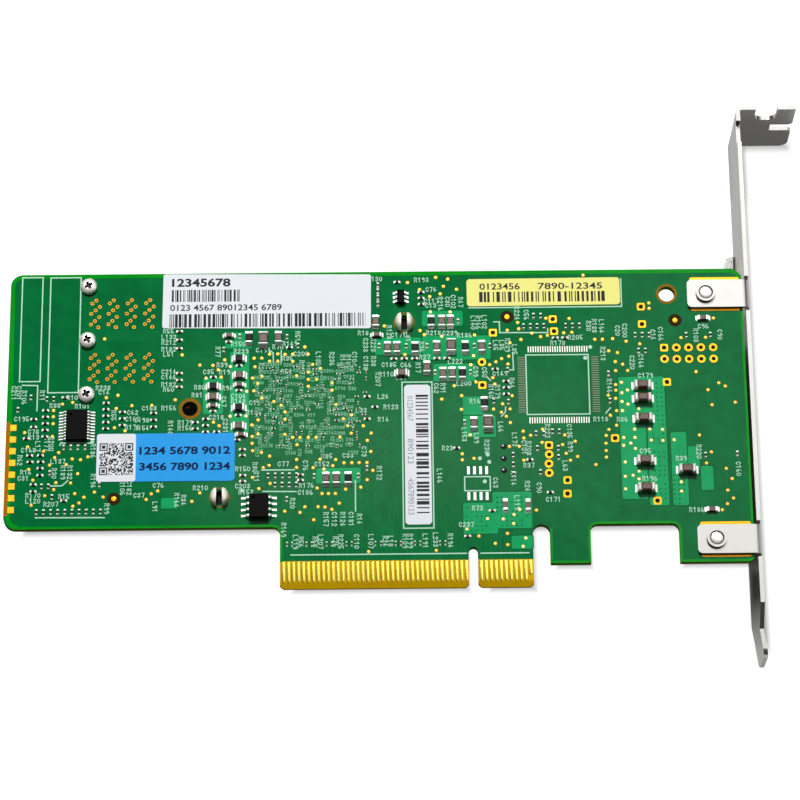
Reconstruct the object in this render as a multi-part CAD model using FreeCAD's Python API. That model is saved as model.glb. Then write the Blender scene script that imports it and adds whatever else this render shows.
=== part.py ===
"""Half-length host bus adapter with an eight-lane card edge, lying with its solder side up.

Frame: +X towards the mounting bracket, +Y away from the edge contacts, +Z out of the solder face.
The origin is the middle of the key notch, on the contact edge, in the solder face of the board.
"""
import FreeCAD, Part
import math
import os

V = FreeCAD.Vector
tolerance = 1e-6

# Circuit board
board_length = 152.4
board_thickness = 1.57
board_top_y = 68.9
board_right_x = 57.0
board_corner_radius = 2.5
shoulder_y = 13.05
leg_bottom_y = 4.8
inner_corner_radius = 1.5
slot_width = 3.5
middle_tab_width = 8.2
wide_notch_width = 18.05

# Edge contacts, an eight-lane card edge
contact_pitch = 1.0
contact_width = 0.7
contact_top_y = 5.6
contact_thickness = 0.05
key_to_first_contact = 1.5
short_row_count = 11
long_row_count = 38
last_contact_to_edge = 0.65
short_contact_lift = 1.2
key_width = 1.9
key_top_y = 8.4
bevel_height = 1.2
bevel_depth = 0.47
tongue_corner_cut = 0.7

# Plated pads
plating = 0.05
test_pad_count = 8
test_pad_pitch = 2.54
test_pad_size = 1.3
test_pad_inset = 0.8
test_pad_first_y = 17.2
edge_strip_margin = 0.7

# Spare holes in the board
upper_hole_diameter = 3.3
upper_hole_from_right = 15.75
upper_hole_from_top = 5.6
side_hole_diameter = 3.2
side_hole_from_left = 37.65
side_hole_from_top = 30.1

# Folded bracket
sheet = 0.86
bracket_height = 120.02
bracket_width = 18.42
bracket_gap = 0.55
bend_radius = 0.4
flange_reach = 11.95
flange_above_board = 37.05
flange_end_radius = 2.2
screw_notch_width = 4.6
screw_notch_depth = 5.1
screw_notch_radius = 1.7
screw_notch_from_plate = 5.75
side_slot_width = 2.8
side_slot_depth = 4.7
side_slot_from_near_edge = 9.0
side_slot_flare = 0.7
edge_notch_length = 4.8
edge_notch_depth = 1.6
edge_notch_from_top = 3.4
tongue_width = 10.19
tongue_tip_radius = 1.5
tongue_straight = 5.6
taper_height = 4.4
tongue_bend_degrees = 7.0
tab_length = 12.1
tab_width = 6.1
tab_corner_radius = 1.0
tab_screw_inset = 3.85
top_tab_from_top = 5.85
bottom_tab_from_leg = 4.6
relief_width = 0.8
relief_depth = 1.7
lip_reach = 2.1
lip_end_radius = 1.6
lip_above_board = 9.6
lip_above_leg = 8.6
vent_count = 8
vent_pitch = 5.4
vent_length = 9.6
vent_width = 2.6
vent_corner_cut = 0.8
collar_diameter = 4.0
collar_height = 0.8

# Bracket screws, from the component side into the tab collars
bracket_screw_diameter = 2.9
bracket_screw_head_diameter = 5.4
bracket_screw_head_height = 1.7
screw_clearance = 0.1
shank_sides = 12

# Controller, heatsink and push pins
controller_from_left = 62.9
controller_from_mid_height = -2.5
controller_size = 29.0
substrate_height = 1.5
lid_inset = 2.5
lid_height = 0.9
pad_height = 0.3
heatsink_size = 43.0
heatsink_base = 2.6
fin_count = 13
fin_root = 1.3
fin_tip = 0.9
fin_height = 6.2
pin_from_heatsink_edge = 2.5
pin_relief = 6.8
pin_shaft_diameter = 2.9
pin_hole_diameter = 3.2
pin_barb_diameter = 3.8
pin_barb_height = 2.0
pin_tip_diameter = 2.2
pin_head_diameter = 5.4
pin_head_height = 0.9
pin_slot_width = 0.9
spring_wire = 0.45
spring_length = 4.2
spring_turns = 3
spring_steps_per_turn = 8
spring_clearance = 0.25
spring_end_gap = 0.05

# Dual-port drive connector at the left end
connector_inset = 0.2
connector_length = 31.5
connector_height = 10.2
port_pitch = 12.0
port_width = 8.8
port_wall = 1.0
connector_from_top = 14.85
port_depth = 13.5
insulator_clearance = 0.1
insulator_length = 16.5
card_slot_height = 1.3
card_slot_side = 0.5
card_slot_depth = 6.0
card_slot_pitch = 3.9
port_contact_count = 9
port_contact_pitch = 0.75
port_contact_width = 0.35
port_contact_thickness = 0.15
port_contact_length = 4.5
latch_window_length = 3.2
latch_window_width = 5.0
latch_window_inset = 3.0
connector_screw_from_front = 16.1
connector_screw_diameter = 1.8
connector_screw_length = 6.0
connector_screw_head_diameter = 3.45
connector_screw_head_height = 1.1

# Leaded chips: body width, length and height, lead span, pitch and width
expander_package = (4.4, 6.6, 1.0, 6.8, 0.65, 0.24)
memory_package = (4.0, 5.1, 1.4, 6.6, 1.27, 0.42)
supervisor_span = 2.9
supervisor_package = (1.6, 3.0, 1.0, supervisor_span, 0.95, 0.4)
expander_lead_count = 10
memory_lead_count = 4
supervisor_lead_count = 3
lead_thickness = 0.15
lead_shoulder_share = 0.6
lead_heel_share = 0.5
chip_seat = 0.1
chip_chamfer = 0.25
expander_from_left = 14.5
expander_from_top = 33.65
memory_from_controller = (-10.95, -21.15)
supervisor_from_controller = (18.35, 24.55)

# Chip capacitors and beads: length, width, height, terminal length
large_chip = (3.4, 1.65, 1.7, 0.65)
tall_chip = (2.9, 1.9, 1.3, 0.5)
medium_chip = (2.3, 1.4, 0.9, 0.45)
small_chip = (1.9, 0.85, 0.75, 0.4)
terminal_step = 0.04

# Places of the large capacitors, in from the right edge and up from the shoulder
large_chip_places = [(21.5, 29.8), (21.5, 27.0), (21.5, 22.6), (21.5, 13.4), (21.5, 7.5), (13.0, 11.4)]

# Places of the filter parts, from the middle of the controller
crosswise_capacitors = [(-15.1, 7.5), (-15.2, -3.6), (-20.5, 2.8), (18.4, 7.7)]
small_capacitors = [(-15.1, 5.4), (-14.7, -5.5), (-20.5, 0.9), (13.3, 16.2)]
upright_capacitors = [(15.5, 13.2), (17.4, 13.2), (25.7, 13.3), (35.0, 13.3), (26.8, 19.0), (28.6, 19.0),
                      (23.6, 8.8), (26.9, 7.4), (28.8, 7.4), (13.1, 19.1), (33.1, -3.6),
                      (2.7, -15.3), (4.8, -15.3)]
tall_capacitors = [(28.7, 13.5), (36.0, -3.5)]
crosswise_beads = [(-15.2, 11.2), (-15.2, 0.4), (-20.5, 5.1)]
upright_beads = [(21.2, 13.1), (7.2, -15.3), (24.6, 19.0), (31.6, 13.2), (30.9, 7.4), (35.3, 0.8)]

# Places of the filter parts under the white label, in from the left edge and down from the top
under_label_upright_capacitor = (55.8, 14.7)
under_label_tall_capacitor = (52.7, 15.0)
under_label_small_capacitor = (45.6, 14.1)
under_label_bead = (49.7, 14.7)

# Component-side parts
supply_heights = (11.0, 25.0)
inductor_from_right = 13.5
polymer_above_inductor = 7.0
regulator_from_right = 23.5
terminal_share = 0.6
flash_length = 6.0
flash_width = 5.0
flash_height = 0.8
flash_from_controller = (35.5, 6.0)
crystal_from_controller = (28.0, -12.0)
led_count = 2
led_from_right = 5.0
led_from_top = 14.0
led_pitch = 4.0
inductor_size = 7.2
inductor_height = 3.6
inductor_corner = 1.2
inductor_terminal_width = 2.6
inductor_terminal_thickness = 0.2
regulator_size = 5.0
regulator_height = 0.9
polymer_length = 7.3
polymer_width = 4.3
polymer_height = 2.4
polymer_terminal_thickness = 0.2
crystal_length = 5.0
crystal_width = 3.2
crystal_height = 1.2
crystal_corner = 0.6
led_length = 1.6
led_width = 0.8
led_height = 0.7

# Labels: width, height, corner cut
label_thickness = 0.1
white_label = (43.3, 12.1, 0.3)
white_label_degrees = -0.58
yellow_label_width = 31.9
yellow_label = (yellow_label_width, 6.1, 0.45)
yellow_label_degrees = 0.3
blue_label = (28.3, 10.4, 0.5)
narrow_label = (5.4, 30.3, 0.5)
white_label_from_left_top = (31.8, 0.15)
yellow_label_from_middle = -0.825
yellow_label_from_top = 1.9
blue_label_from_left = 18.65
blue_label_above_shoulder = 20.4
narrow_label_from_controller = (18.85, 5.1)

# Derived places
board_left_x = board_right_x - board_length
component_face_z = -board_thickness
tongue_left_x = -(key_to_first_contact + (long_row_count - 1) * contact_pitch + last_contact_to_edge)
tongue_right_x = key_to_first_contact + (short_row_count - 1) * contact_pitch + last_contact_to_edge
middle_tab_left_x = tongue_right_x + slot_width
middle_tab_right_x = middle_tab_left_x + middle_tab_width
right_leg_left_x = middle_tab_right_x + wide_notch_width
plate_x = board_right_x + bracket_gap
plate_outer_x = plate_x + sheet
near_edge_z = sheet
far_edge_z = near_edge_z - bracket_width
flange_top_y = board_top_y + flange_above_board
flange_end_x = plate_outer_x + flange_reach
outer_bend_radius = bend_radius + sheet
tab_ys = (leg_bottom_y + bottom_tab_from_leg, board_top_y - top_tab_from_top)
tab_screw_x = plate_x - tab_length + tab_screw_inset
controller_x = board_left_x + controller_from_left
controller_y = (board_top_y + shoulder_y) / 2 + controller_from_mid_height
lid_face_z = component_face_z - substrate_height - lid_height
heatsink_face_z = lid_face_z - pad_height
heatsink_seat_z = heatsink_face_z - heatsink_base
pin_spread = heatsink_size - 2 * pin_from_heatsink_edge
pin_places = (
    (controller_x + pin_spread / 2, controller_y + pin_spread / 2),
    (controller_x - pin_spread / 2, controller_y - pin_spread / 2),
)
connector_front_x = board_left_x + connector_inset
connector_y = board_top_y - connector_from_top
connector_screw_x = connector_front_x + connector_screw_from_front
connector_screw_ys = tuple(connector_y + step * port_pitch for step in (-1, 0, 1))
port_ys = (connector_y - port_pitch / 2, connector_y + port_pitch / 2)
upper_hole = (board_right_x - upper_hole_from_right, board_top_y - upper_hole_from_top)
side_hole = (board_left_x + side_hole_from_left, board_top_y - side_hole_from_top)


def on_xy(u, v):
    return V(u, v, 0)


def on_yz(u, v):
    return V(0, u, v)


def on_xz(u, v):
    return V(u, 0, v)


def rounded_wire(corners, plane=on_xy):
    """Closed wire through corners (u, v, radius), each corner rounded by an arc of its radius."""
    count = len(corners)
    spans = []
    for index, (u, v, radius) in enumerate(corners):
        here = plane(u, v)
        if radius == 0:
            spans.append((here, None, here))
            continue
        before = plane(*corners[index - 1][:2]) - here
        after = plane(*corners[(index + 1) % count][:2]) - here
        before.normalize()
        after.normalize()
        half = before.getAngle(after) / 2
        bisector = (before + after).normalize()
        reach = radius / math.tan(half)
        middle = here + bisector * (radius / math.sin(half) - radius)
        spans.append((here + before * reach, middle, here + after * reach))
    edges = []
    for index, (start, middle, end) in enumerate(spans):
        if middle is not None:
            edges.append(Part.Arc(start, middle, end).toShape())
        following = spans[(index + 1) % count][0]
        if end.distanceToPoint(following) > tolerance:
            edges.append(Part.LineSegment(end, following).toShape())
    return Part.Wire(Part.__sortEdges__(edges))


def prism(corners, plane, start, depth):
    """Rounded outline extruded by depth along the plane's normal, from the offset start."""
    normal = plane(1, 1)
    axis = V(1 if normal.x == 0 else 0, 1 if normal.y == 0 else 0, 1 if normal.z == 0 else 0)
    face = Part.Face(rounded_wire(corners, plane))
    face.translate(axis * start)
    return face.extrude(axis * depth)


def plain(points):
    return [(u, v, 0) for u, v in points]


def rectangle(u_low, v_low, u_high, v_high):
    return plain([(u_low, v_low), (u_high, v_low), (u_high, v_high), (u_low, v_high)])


def centred(u, v, width, height):
    return rectangle(u - width / 2, v - height / 2, u + width / 2, v + height / 2)


def cut_corner_rectangle(u_low, v_low, u_high, v_high, cut):
    """Rectangle whose four corners are cut off at 45 degrees."""
    return plain([
        (u_low + cut, v_low),
        (u_high - cut, v_low),
        (u_high, v_low + cut),
        (u_high, v_high - cut),
        (u_high - cut, v_high),
        (u_low + cut, v_high),
        (u_low, v_high - cut),
        (u_low, v_low + cut),
    ])


def cut_corner_centred(u, v, width, height, cut):
    return cut_corner_rectangle(u - width / 2, v - height / 2, u + width / 2, v + height / 2, cut)


def box(low, high):
    return Part.makeBox(high[0] - low[0], high[1] - low[1], high[2] - low[2], V(*low))


def cylinder(x, y, z, diameter, height):
    return Part.makeCylinder(diameter / 2, height, V(x, y, z))


def shank(x, y, z, diameter, height):
    """Many-sided upright prism for small shanks and the holes that take them."""
    corners = []
    for index in range(shank_sides):
        angle = 2 * math.pi * index / shank_sides
        corners.append((x + diameter / 2 * math.cos(angle), y + diameter / 2 * math.sin(angle)))
    return prism(plain(corners), on_xy, z, height)


def chamfer_flat_top(solid, z, size):
    """Chamfer every edge that lies in the plane z."""
    edges = []
    for edge in solid.Edges:
        limits = edge.BoundBox
        if abs(limits.ZMin - z) + abs(limits.ZMax - z) < tolerance:
            edges.append(edge)
    return solid.makeChamfer(size, edges)


def save(node, solids):
    shape = solids[0] if len(solids) == 1 else Part.makeCompound(solids)
    shape.exportStep("parts/" + node + ".step")


def contact_xs():
    short_row = [key_to_first_contact + i * contact_pitch for i in range(short_row_count)]
    long_row = [-key_to_first_contact - i * contact_pitch for i in range(long_row_count)]
    return short_row + long_row


def board():
    """Board outline with its shoulder, contact tongue, key, slots and legs, drilled and bevelled."""
    half_key = key_width / 2
    outline = [
        (board_left_x, board_top_y, board_corner_radius),
        (board_left_x, shoulder_y, board_corner_radius),
        (tongue_left_x, shoulder_y, inner_corner_radius),
        (tongue_left_x, tongue_corner_cut, 0),
        (tongue_left_x + tongue_corner_cut, 0, 0),
        (-half_key - tongue_corner_cut, 0, 0),
        (-half_key, tongue_corner_cut, 0),
        (-half_key, key_top_y, half_key),
        (half_key, key_top_y, half_key),
        (half_key, tongue_corner_cut, 0),
        (half_key + tongue_corner_cut, 0, 0),
        (tongue_right_x - tongue_corner_cut, 0, 0),
        (tongue_right_x, tongue_corner_cut, 0),
        (tongue_right_x, shoulder_y, slot_width / 2),
        (middle_tab_left_x, shoulder_y, slot_width / 2),
        (middle_tab_left_x, leg_bottom_y, 0),
        (middle_tab_right_x, leg_bottom_y, 0),
        (middle_tab_right_x, shoulder_y, inner_corner_radius),
        (right_leg_left_x, shoulder_y, inner_corner_radius),
        (right_leg_left_x, leg_bottom_y, 0),
        (board_right_x, leg_bottom_y, inner_corner_radius),
        (board_right_x, board_top_y, board_corner_radius),
    ]
    solid = prism(outline, on_xy, component_face_z, board_thickness)
    bored = [upper_hole + (upper_hole_diameter,), side_hole + (side_hole_diameter,)]
    bored += [(tab_screw_x, y, bracket_screw_diameter + 2 * screw_clearance) for y in tab_ys]
    for x, y, diameter in bored:
        solid = solid.cut(cylinder(x, y, component_face_z, diameter, board_thickness))
    passages = [(x, y, pin_hole_diameter) for x, y in pin_places]
    screw_passage = connector_screw_diameter + 2 * screw_clearance
    passages += [(connector_screw_x, y, screw_passage) for y in connector_screw_ys]
    for x, y, diameter in passages:
        solid = solid.cut(shank(x, y, component_face_z, diameter, board_thickness))
    tongue_width_all = tongue_right_x - tongue_left_x
    for face_z, inward in ((0, -1), (component_face_z, 1)):
        wedge = plain([(0, face_z), (bevel_height, face_z), (0, face_z + inward * bevel_depth)])
        solid = solid.cut(prism(wedge, on_yz, tongue_left_x, tongue_width_all))
    return [solid]


def edge_contacts(low_z):
    """One plated contact for each position, the outermost short-row contact set back from the edge."""
    contacts = []
    last_x = key_to_first_contact + (short_row_count - 1) * contact_pitch
    for x in contact_xs():
        bottom_y = bevel_height + (short_contact_lift if x == last_x else 0)
        low = (x - contact_width / 2, bottom_y, low_z)
        high = (x + contact_width / 2, contact_top_y, low_z + contact_thickness)
        contacts.append(box(low, high))
    return contacts


def edge_test_pads():
    """Square pads along the left edge, with the plated strip on the board's edge beside them."""
    pads = []
    for index in range(test_pad_count):
        y = test_pad_first_y + index * test_pad_pitch
        x = board_left_x + test_pad_inset + test_pad_size / 2
        pads.append(prism(centred(x, y, test_pad_size, test_pad_size), on_xy, 0, plating))
    last_y = test_pad_first_y + (test_pad_count - 1) * test_pad_pitch
    low = (board_left_x - plating, test_pad_first_y - edge_strip_margin, component_face_z)
    high = (board_left_x, last_y + edge_strip_margin, 0)
    pads.append(box(low, high))
    return pads


def bracket_tab(y):
    """Tab folded from the plate's near edge onto the board, with its extruded screw collar."""
    root_z = near_edge_z - relief_depth
    free_x = plate_x - tab_length
    under_z = near_edge_z - sheet
    profile = [
        (plate_x, root_z, 0),
        (plate_outer_x, root_z, 0),
        (plate_outer_x, near_edge_z, outer_bend_radius),
        (free_x, near_edge_z, 0),
        (free_x, under_z, 0),
        (plate_x, under_z, bend_radius),
    ]
    half = tab_width / 2
    fold = prism(profile, on_xz, y - half, tab_width)
    plan = [
        (free_x, y - half, tab_corner_radius),
        (plate_outer_x, y - half, 0),
        (plate_outer_x, y + half, 0),
        (free_x, y + half, tab_corner_radius),
    ]
    fold = fold.common(prism(plan, on_xy, root_z, relief_depth))
    collar = cylinder(tab_screw_x, y, near_edge_z, collar_diameter, collar_height)
    bore = cylinder(tab_screw_x, y, under_z, bracket_screw_diameter + screw_clearance, sheet + collar_height)
    return fold.fuse(collar).cut(bore)


def bracket_lip():
    """Stiffening lip folded inwards along the component-side edge, with rounded ends."""
    low_y = leg_bottom_y + lip_above_leg
    high_y = board_top_y + lip_above_board
    inner_z = far_edge_z + sheet
    free_x = plate_x - lip_reach
    root_z = far_edge_z + relief_depth
    profile = [
        (plate_x, root_z, 0),
        (plate_x, inner_z, bend_radius),
        (free_x, inner_z, 0),
        (free_x, far_edge_z, 0),
        (plate_outer_x, far_edge_z, outer_bend_radius),
        (plate_outer_x, root_z, 0),
    ]
    fold = prism(profile, on_xz, low_y, high_y - low_y)
    plan = [
        (free_x, low_y, lip_end_radius),
        (plate_outer_x, low_y, 0),
        (plate_outer_x, high_y, 0),
        (free_x, high_y, lip_end_radius),
    ]
    return fold.common(prism(plan, on_xy, far_edge_z, relief_depth))


def bracket():
    """One folded sheet: plate, screw flange, bent tongue, two tabs and the stiffening lip."""
    tip_y = flange_top_y - bracket_height
    bend_y = tip_y + tongue_straight
    tip_shift = tongue_straight * math.tan(math.radians(tongue_bend_degrees))
    fold_profile = [
        (plate_x + tip_shift, tip_y, 0),
        (plate_x, bend_y, 0),
        (plate_x, flange_top_y, outer_bend_radius),
        (flange_end_x, flange_top_y, 0),
        (flange_end_x, flange_top_y - sheet, 0),
        (plate_outer_x, flange_top_y - sheet, bend_radius),
        (plate_outer_x, bend_y, 0),
        (plate_outer_x + tip_shift, tip_y, 0),
    ]
    solid = prism(fold_profile, on_xy, far_edge_z, bracket_width)

    taper = (bracket_width - tongue_width) / 2
    side_view = [
        (flange_top_y, far_edge_z, 0),
        (flange_top_y, near_edge_z, 0),
        (bend_y + taper_height, near_edge_z, 0),
        (bend_y, near_edge_z - taper, 0),
        (tip_y, near_edge_z - taper, tongue_tip_radius),
        (tip_y, far_edge_z + taper, tongue_tip_radius),
        (bend_y, far_edge_z + taper, 0),
        (bend_y + taper_height, far_edge_z, 0),
    ]
    solid = solid.common(prism(side_view, on_yz, plate_x, flange_end_x - plate_x))

    notch_x = plate_outer_x + screw_notch_from_plate
    notch_low_z = near_edge_z - screw_notch_depth
    notch_plan = [
        (notch_x - screw_notch_width / 2, near_edge_z, 0),
        (notch_x - screw_notch_width / 2, notch_low_z, screw_notch_radius),
        (notch_x + screw_notch_width / 2, notch_low_z, screw_notch_radius),
        (notch_x + screw_notch_width / 2, near_edge_z, 0),
    ]
    slot_z = near_edge_z - side_slot_from_near_edge
    slot_end_x = flange_end_x - side_slot_depth
    half_slot = side_slot_width / 2
    slot_plan = plain([
        (slot_end_x, slot_z - half_slot),
        (flange_end_x - side_slot_flare, slot_z - half_slot),
        (flange_end_x, slot_z - half_slot - side_slot_flare),
        (flange_end_x, slot_z + half_slot + side_slot_flare),
        (flange_end_x - side_slot_flare, slot_z + half_slot),
        (slot_end_x, slot_z + half_slot),
    ])
    flange_plan = [
        (plate_x, near_edge_z, 0),
        (flange_end_x, near_edge_z, 0),
        (flange_end_x, far_edge_z, flange_end_radius),
        (plate_x, far_edge_z, 0),
    ]
    tip_to_top = flange_top_y - tip_y
    solid = solid.common(prism(flange_plan, on_xz, tip_y, tip_to_top))
    for plan in (notch_plan, slot_plan):
        solid = solid.cut(prism(plan, on_xz, flange_top_y - sheet, sheet))

    notch_top_y = flange_top_y - edge_notch_from_top
    low = (plate_x, notch_top_y - edge_notch_length, near_edge_z - edge_notch_depth)
    solid = solid.cut(box(low, (plate_outer_x, notch_top_y, near_edge_z)))

    vent_z = (component_face_z + far_edge_z) / 2
    vent_mid_y = (tab_ys[0] + tab_ys[1]) / 2
    for index in range(vent_count):
        y = vent_mid_y + (index - (vent_count - 1) / 2) * vent_pitch
        slot = cut_corner_centred(y, vent_z, vent_width, vent_length, vent_corner_cut)
        solid = solid.cut(prism(slot, on_yz, plate_x, sheet))

    for y in tab_ys:
        half = tab_width / 2 + relief_width
        low = (plate_x, y - half, near_edge_z - relief_depth)
        solid = solid.cut(box(low, (plate_outer_x, y + half, near_edge_z)))
        solid = solid.fuse(bracket_tab(y))
    lip_low = (plate_x, leg_bottom_y + lip_above_leg, far_edge_z)
    lip_high = (plate_outer_x, board_top_y + lip_above_board, far_edge_z + relief_depth)
    solid = solid.cut(box(lip_low, lip_high)).fuse(bracket_lip())
    return [solid.removeSplitter()]


def bracket_screws():
    """Pan-head screws whose heads seat on the component face and whose tips stand in the collars."""
    screws = []
    tip_z = near_edge_z + collar_height
    head_z = component_face_z - bracket_screw_head_height
    for y in tab_ys:
        head = cylinder(tab_screw_x, y, head_z, bracket_screw_head_diameter, bracket_screw_head_height)
        stem = cylinder(tab_screw_x, y, component_face_z, bracket_screw_diameter, tip_z - component_face_z)
        screws.append(head.fuse(stem))
    return screws


def connector_screws():
    """Small pan-head screws from the solder face into the connector frame's walls."""
    screws = []
    tip_z = component_face_z - connector_screw_length
    for y in connector_screw_ys:
        head = cylinder(connector_screw_x, y, 0, connector_screw_head_diameter, connector_screw_head_height)
        screws.append(head.fuse(shank(connector_screw_x, y, tip_z, connector_screw_diameter, -tip_z)))
    return screws


def controller():
    """Ball-grid package: a square substrate with a smaller metal lid."""
    substrate_low_z = component_face_z - substrate_height
    corners = centred(controller_x, controller_y, controller_size, controller_size)
    substrate = prism(corners, on_xy, substrate_low_z, substrate_height)
    lid_size = controller_size - 2 * lid_inset
    lid_plan = cut_corner_centred(controller_x, controller_y, lid_size, lid_size, lid_inset / 2)
    lid = prism(lid_plan, on_xy, lid_face_z, lid_height)
    return [substrate.fuse(lid).removeSplitter()]


def thermal_pad():
    pad_size = controller_size - 2 * lid_inset
    corners = centred(controller_x, controller_y, pad_size, pad_size)
    return [prism(corners, on_xy, heatsink_face_z, pad_height)]


def heatsink():
    """Extruded comb of tapered fins, cleared and drilled at two corners for the push pins."""
    half = heatsink_size / 2
    low_y = controller_y - half
    fin_pitch = (heatsink_size - fin_root) / (fin_count - 1)
    fin_low_z = heatsink_seat_z - fin_height
    comb = [(low_y, heatsink_face_z)]
    for index in range(fin_count):
        root_y = low_y + index * fin_pitch
        middle_y = root_y + fin_root / 2
        comb += [
            (root_y, heatsink_seat_z),
            (middle_y - fin_tip / 2, fin_low_z),
            (middle_y + fin_tip / 2, fin_low_z),
            (root_y + fin_root, heatsink_seat_z),
        ]
    comb.append((low_y + heatsink_size, heatsink_face_z))
    solid = prism(plain(comb), on_yz, controller_x - half, heatsink_size)
    for x, y in pin_places:
        clear = prism(centred(x, y, pin_relief, pin_relief), on_xy, fin_low_z, fin_height)
        hole = shank(x, y, heatsink_seat_z, pin_hole_diameter, heatsink_base)
        solid = solid.cut(clear).cut(hole)
    return [solid]


def push_pins():
    """Split barbed pins: the barb grips the solder face and the head holds the spring."""
    pins = []
    barb = pin_barb_diameter / 2
    head_top_z = heatsink_seat_z - spring_length
    for x, y in pin_places:
        head = cylinder(x, y, head_top_z - pin_head_height, pin_head_diameter, pin_head_height)
        stem = shank(x, y, head_top_z, pin_shaft_diameter, -head_top_z)
        cone = Part.makeCone(barb, pin_tip_diameter / 2, pin_barb_height, V(x, y, 0))
        low = (x - pin_slot_width / 2, y - barb, component_face_z)
        slot = box(low, (x + pin_slot_width / 2, y + barb, pin_barb_height))
        pins.append(head.fuse([stem, cone]).removeSplitter().cut(slot))
    return pins


def push_pin_springs():
    """Square-wire compression springs between the heatsink's base and the pin heads."""
    springs = []
    coil_radius = pin_shaft_diameter / 2 + spring_clearance + spring_wire / 2
    rise = spring_length - spring_wire - 2 * spring_end_gap
    start_z = heatsink_seat_z - spring_length + spring_wire / 2 + spring_end_gap
    steps = spring_turns * spring_steps_per_turn
    for x, y in pin_places:
        points = []
        for step in range(steps + 1):
            angle = 2 * math.pi * step / spring_steps_per_turn
            height = start_z + rise * step / steps
            points.append(V(x + coil_radius * math.cos(angle), y + coil_radius * math.sin(angle), height))
        half = spring_wire / 2
        corners = [V(-half, 0, -half), V(half, 0, -half), V(half, 0, half), V(-half, 0, half)]
        section = Part.makePolygon([points[0] + corner for corner in corners + corners[:1]])
        springs.append(Part.makePolygon(points).makePipeShell([section], True, False, 1))
    return springs


def connector_frame():
    """Moulded frame of the two drive ports, with mouths at the board's left edge and open rear pockets."""
    half_width = port_pitch + (port_pitch - port_width) / 2
    low_z = component_face_z - connector_height
    rear_x = connector_front_x + connector_length
    plan = rectangle(connector_front_x, connector_y - half_width, rear_x, connector_y + half_width)
    solid = prism(plan, on_xy, low_z, connector_height)
    pocket_x = connector_front_x + port_depth
    for y in port_ys:
        side = port_width / 2
        mouth_low = (connector_front_x, y - side, low_z + port_wall)
        solid = solid.cut(box(mouth_low, (pocket_x, y + side, component_face_z - port_wall)))
        pocket_low = (pocket_x, y - side, low_z + port_wall)
        solid = solid.cut(box(pocket_low, (rear_x, y + side, component_face_z)))
        window_x = connector_front_x + latch_window_inset
        window = rectangle(window_x, y - latch_window_width / 2,
                           window_x + latch_window_length, y + latch_window_width / 2)
        solid = solid.cut(prism(window, on_xy, low_z, port_wall))
    bore = connector_screw_diameter + screw_clearance
    for y in connector_screw_ys:
        bottom_z = component_face_z - connector_screw_length - screw_clearance
        depth = connector_screw_length + screw_clearance
        solid = solid.cut(shank(connector_screw_x, y, bottom_z, bore, depth))
    return [solid]


def card_slot_zs():
    middle_z = component_face_z - connector_height / 2
    return (middle_z - card_slot_pitch / 2, middle_z + card_slot_pitch / 2)


def port_insulators():
    """Contact blocks that fill the rear pockets, each with two slots for the plug's paddle cards."""
    blocks = []
    front_x = connector_front_x + port_depth + insulator_clearance
    low_z = component_face_z - connector_height + port_wall + insulator_clearance
    side = port_width / 2 - insulator_clearance
    for y in port_ys:
        block = box((front_x, y - side, low_z), (front_x + insulator_length, y + side, component_face_z))
        for z in card_slot_zs():
            half = card_slot_height / 2
            low = (front_x, y - side + card_slot_side, z - half)
            high = (front_x + card_slot_depth, y + side - card_slot_side, z + half)
            block = block.cut(box(low, high))
        blocks.append(block)
    return blocks


def port_contacts():
    """Contact strips along the upper and lower faces of every paddle-card slot."""
    strips = []
    front_x = connector_front_x + port_depth + insulator_clearance
    start_x = front_x + card_slot_depth - port_contact_length
    for port_y in port_ys:
        for slot_z in card_slot_zs():
            half = card_slot_height / 2
            for low_z in (slot_z - half, slot_z + half - port_contact_thickness):
                high_z = low_z + port_contact_thickness
                for index in range(port_contact_count):
                    y = port_y + (index - (port_contact_count - 1) / 2) * port_contact_pitch
                    low = (start_x, y - port_contact_width / 2, low_z)
                    high = (start_x + port_contact_length, y + port_contact_width / 2, high_z)
                    strips.append(box(low, high))
    return strips


def leaded_chip(x, y, package, leads_per_side):
    """Moulded body and gull-wing leads along its left and right sides, on the solder face."""
    width, length, height, lead_span, lead_pitch, lead_width = package
    top_z = chip_seat + height
    body = prism(centred(0, 0, width, length), on_xy, chip_seat, height)
    body = chamfer_flat_top(body, top_z, chip_chamfer)
    reach = (lead_span - width) / 2
    shoulder = chip_seat + height * lead_shoulder_share
    heel = reach * lead_heel_share
    gull = plain([
        (0, shoulder - lead_thickness),
        (0, shoulder),
        (heel, lead_thickness),
        (reach, lead_thickness),
        (reach, 0),
        (heel - lead_thickness, 0),
    ])
    lead = prism(gull, on_xz, -lead_width / 2, lead_width)
    leads = []
    for index in range(leads_per_side):
        lead_y = (index - (leads_per_side - 1) / 2) * lead_pitch
        for turn in (0, 180):
            copy = lead.copy()
            copy.translate(V(width / 2, 0, 0))
            copy.rotate(V(0, 0, 0), V(0, 0, 1), turn)
            copy.translate(V(0, lead_y, 0))
            leads.append(copy)
    for solid in [body] + leads:
        solid.translate(V(x, y, 0))
    return [body], leads


def two_terminal_chip(x, y, upright, size):
    """Ceramic body between its two end terminals; upright parts run along Y."""
    length, width, height, terminal = size
    inner = length - 2 * terminal
    along = (width, inner) if upright else (inner, width)
    body = prism(centred(x, y, along[0], along[1]), on_xy, 0, height)
    ends = []
    for direction in (-1, 1):
        offset = direction * (inner + terminal) / 2
        end_x = x if upright else x + offset
        end_y = y + offset if upright else y
        wide = width + 2 * terminal_step
        span = (wide, terminal) if upright else (terminal, wide)
        ends.append(prism(centred(end_x, end_y, span[0], span[1]), on_xy, 0, height + terminal_step))
    return body, ends


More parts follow.
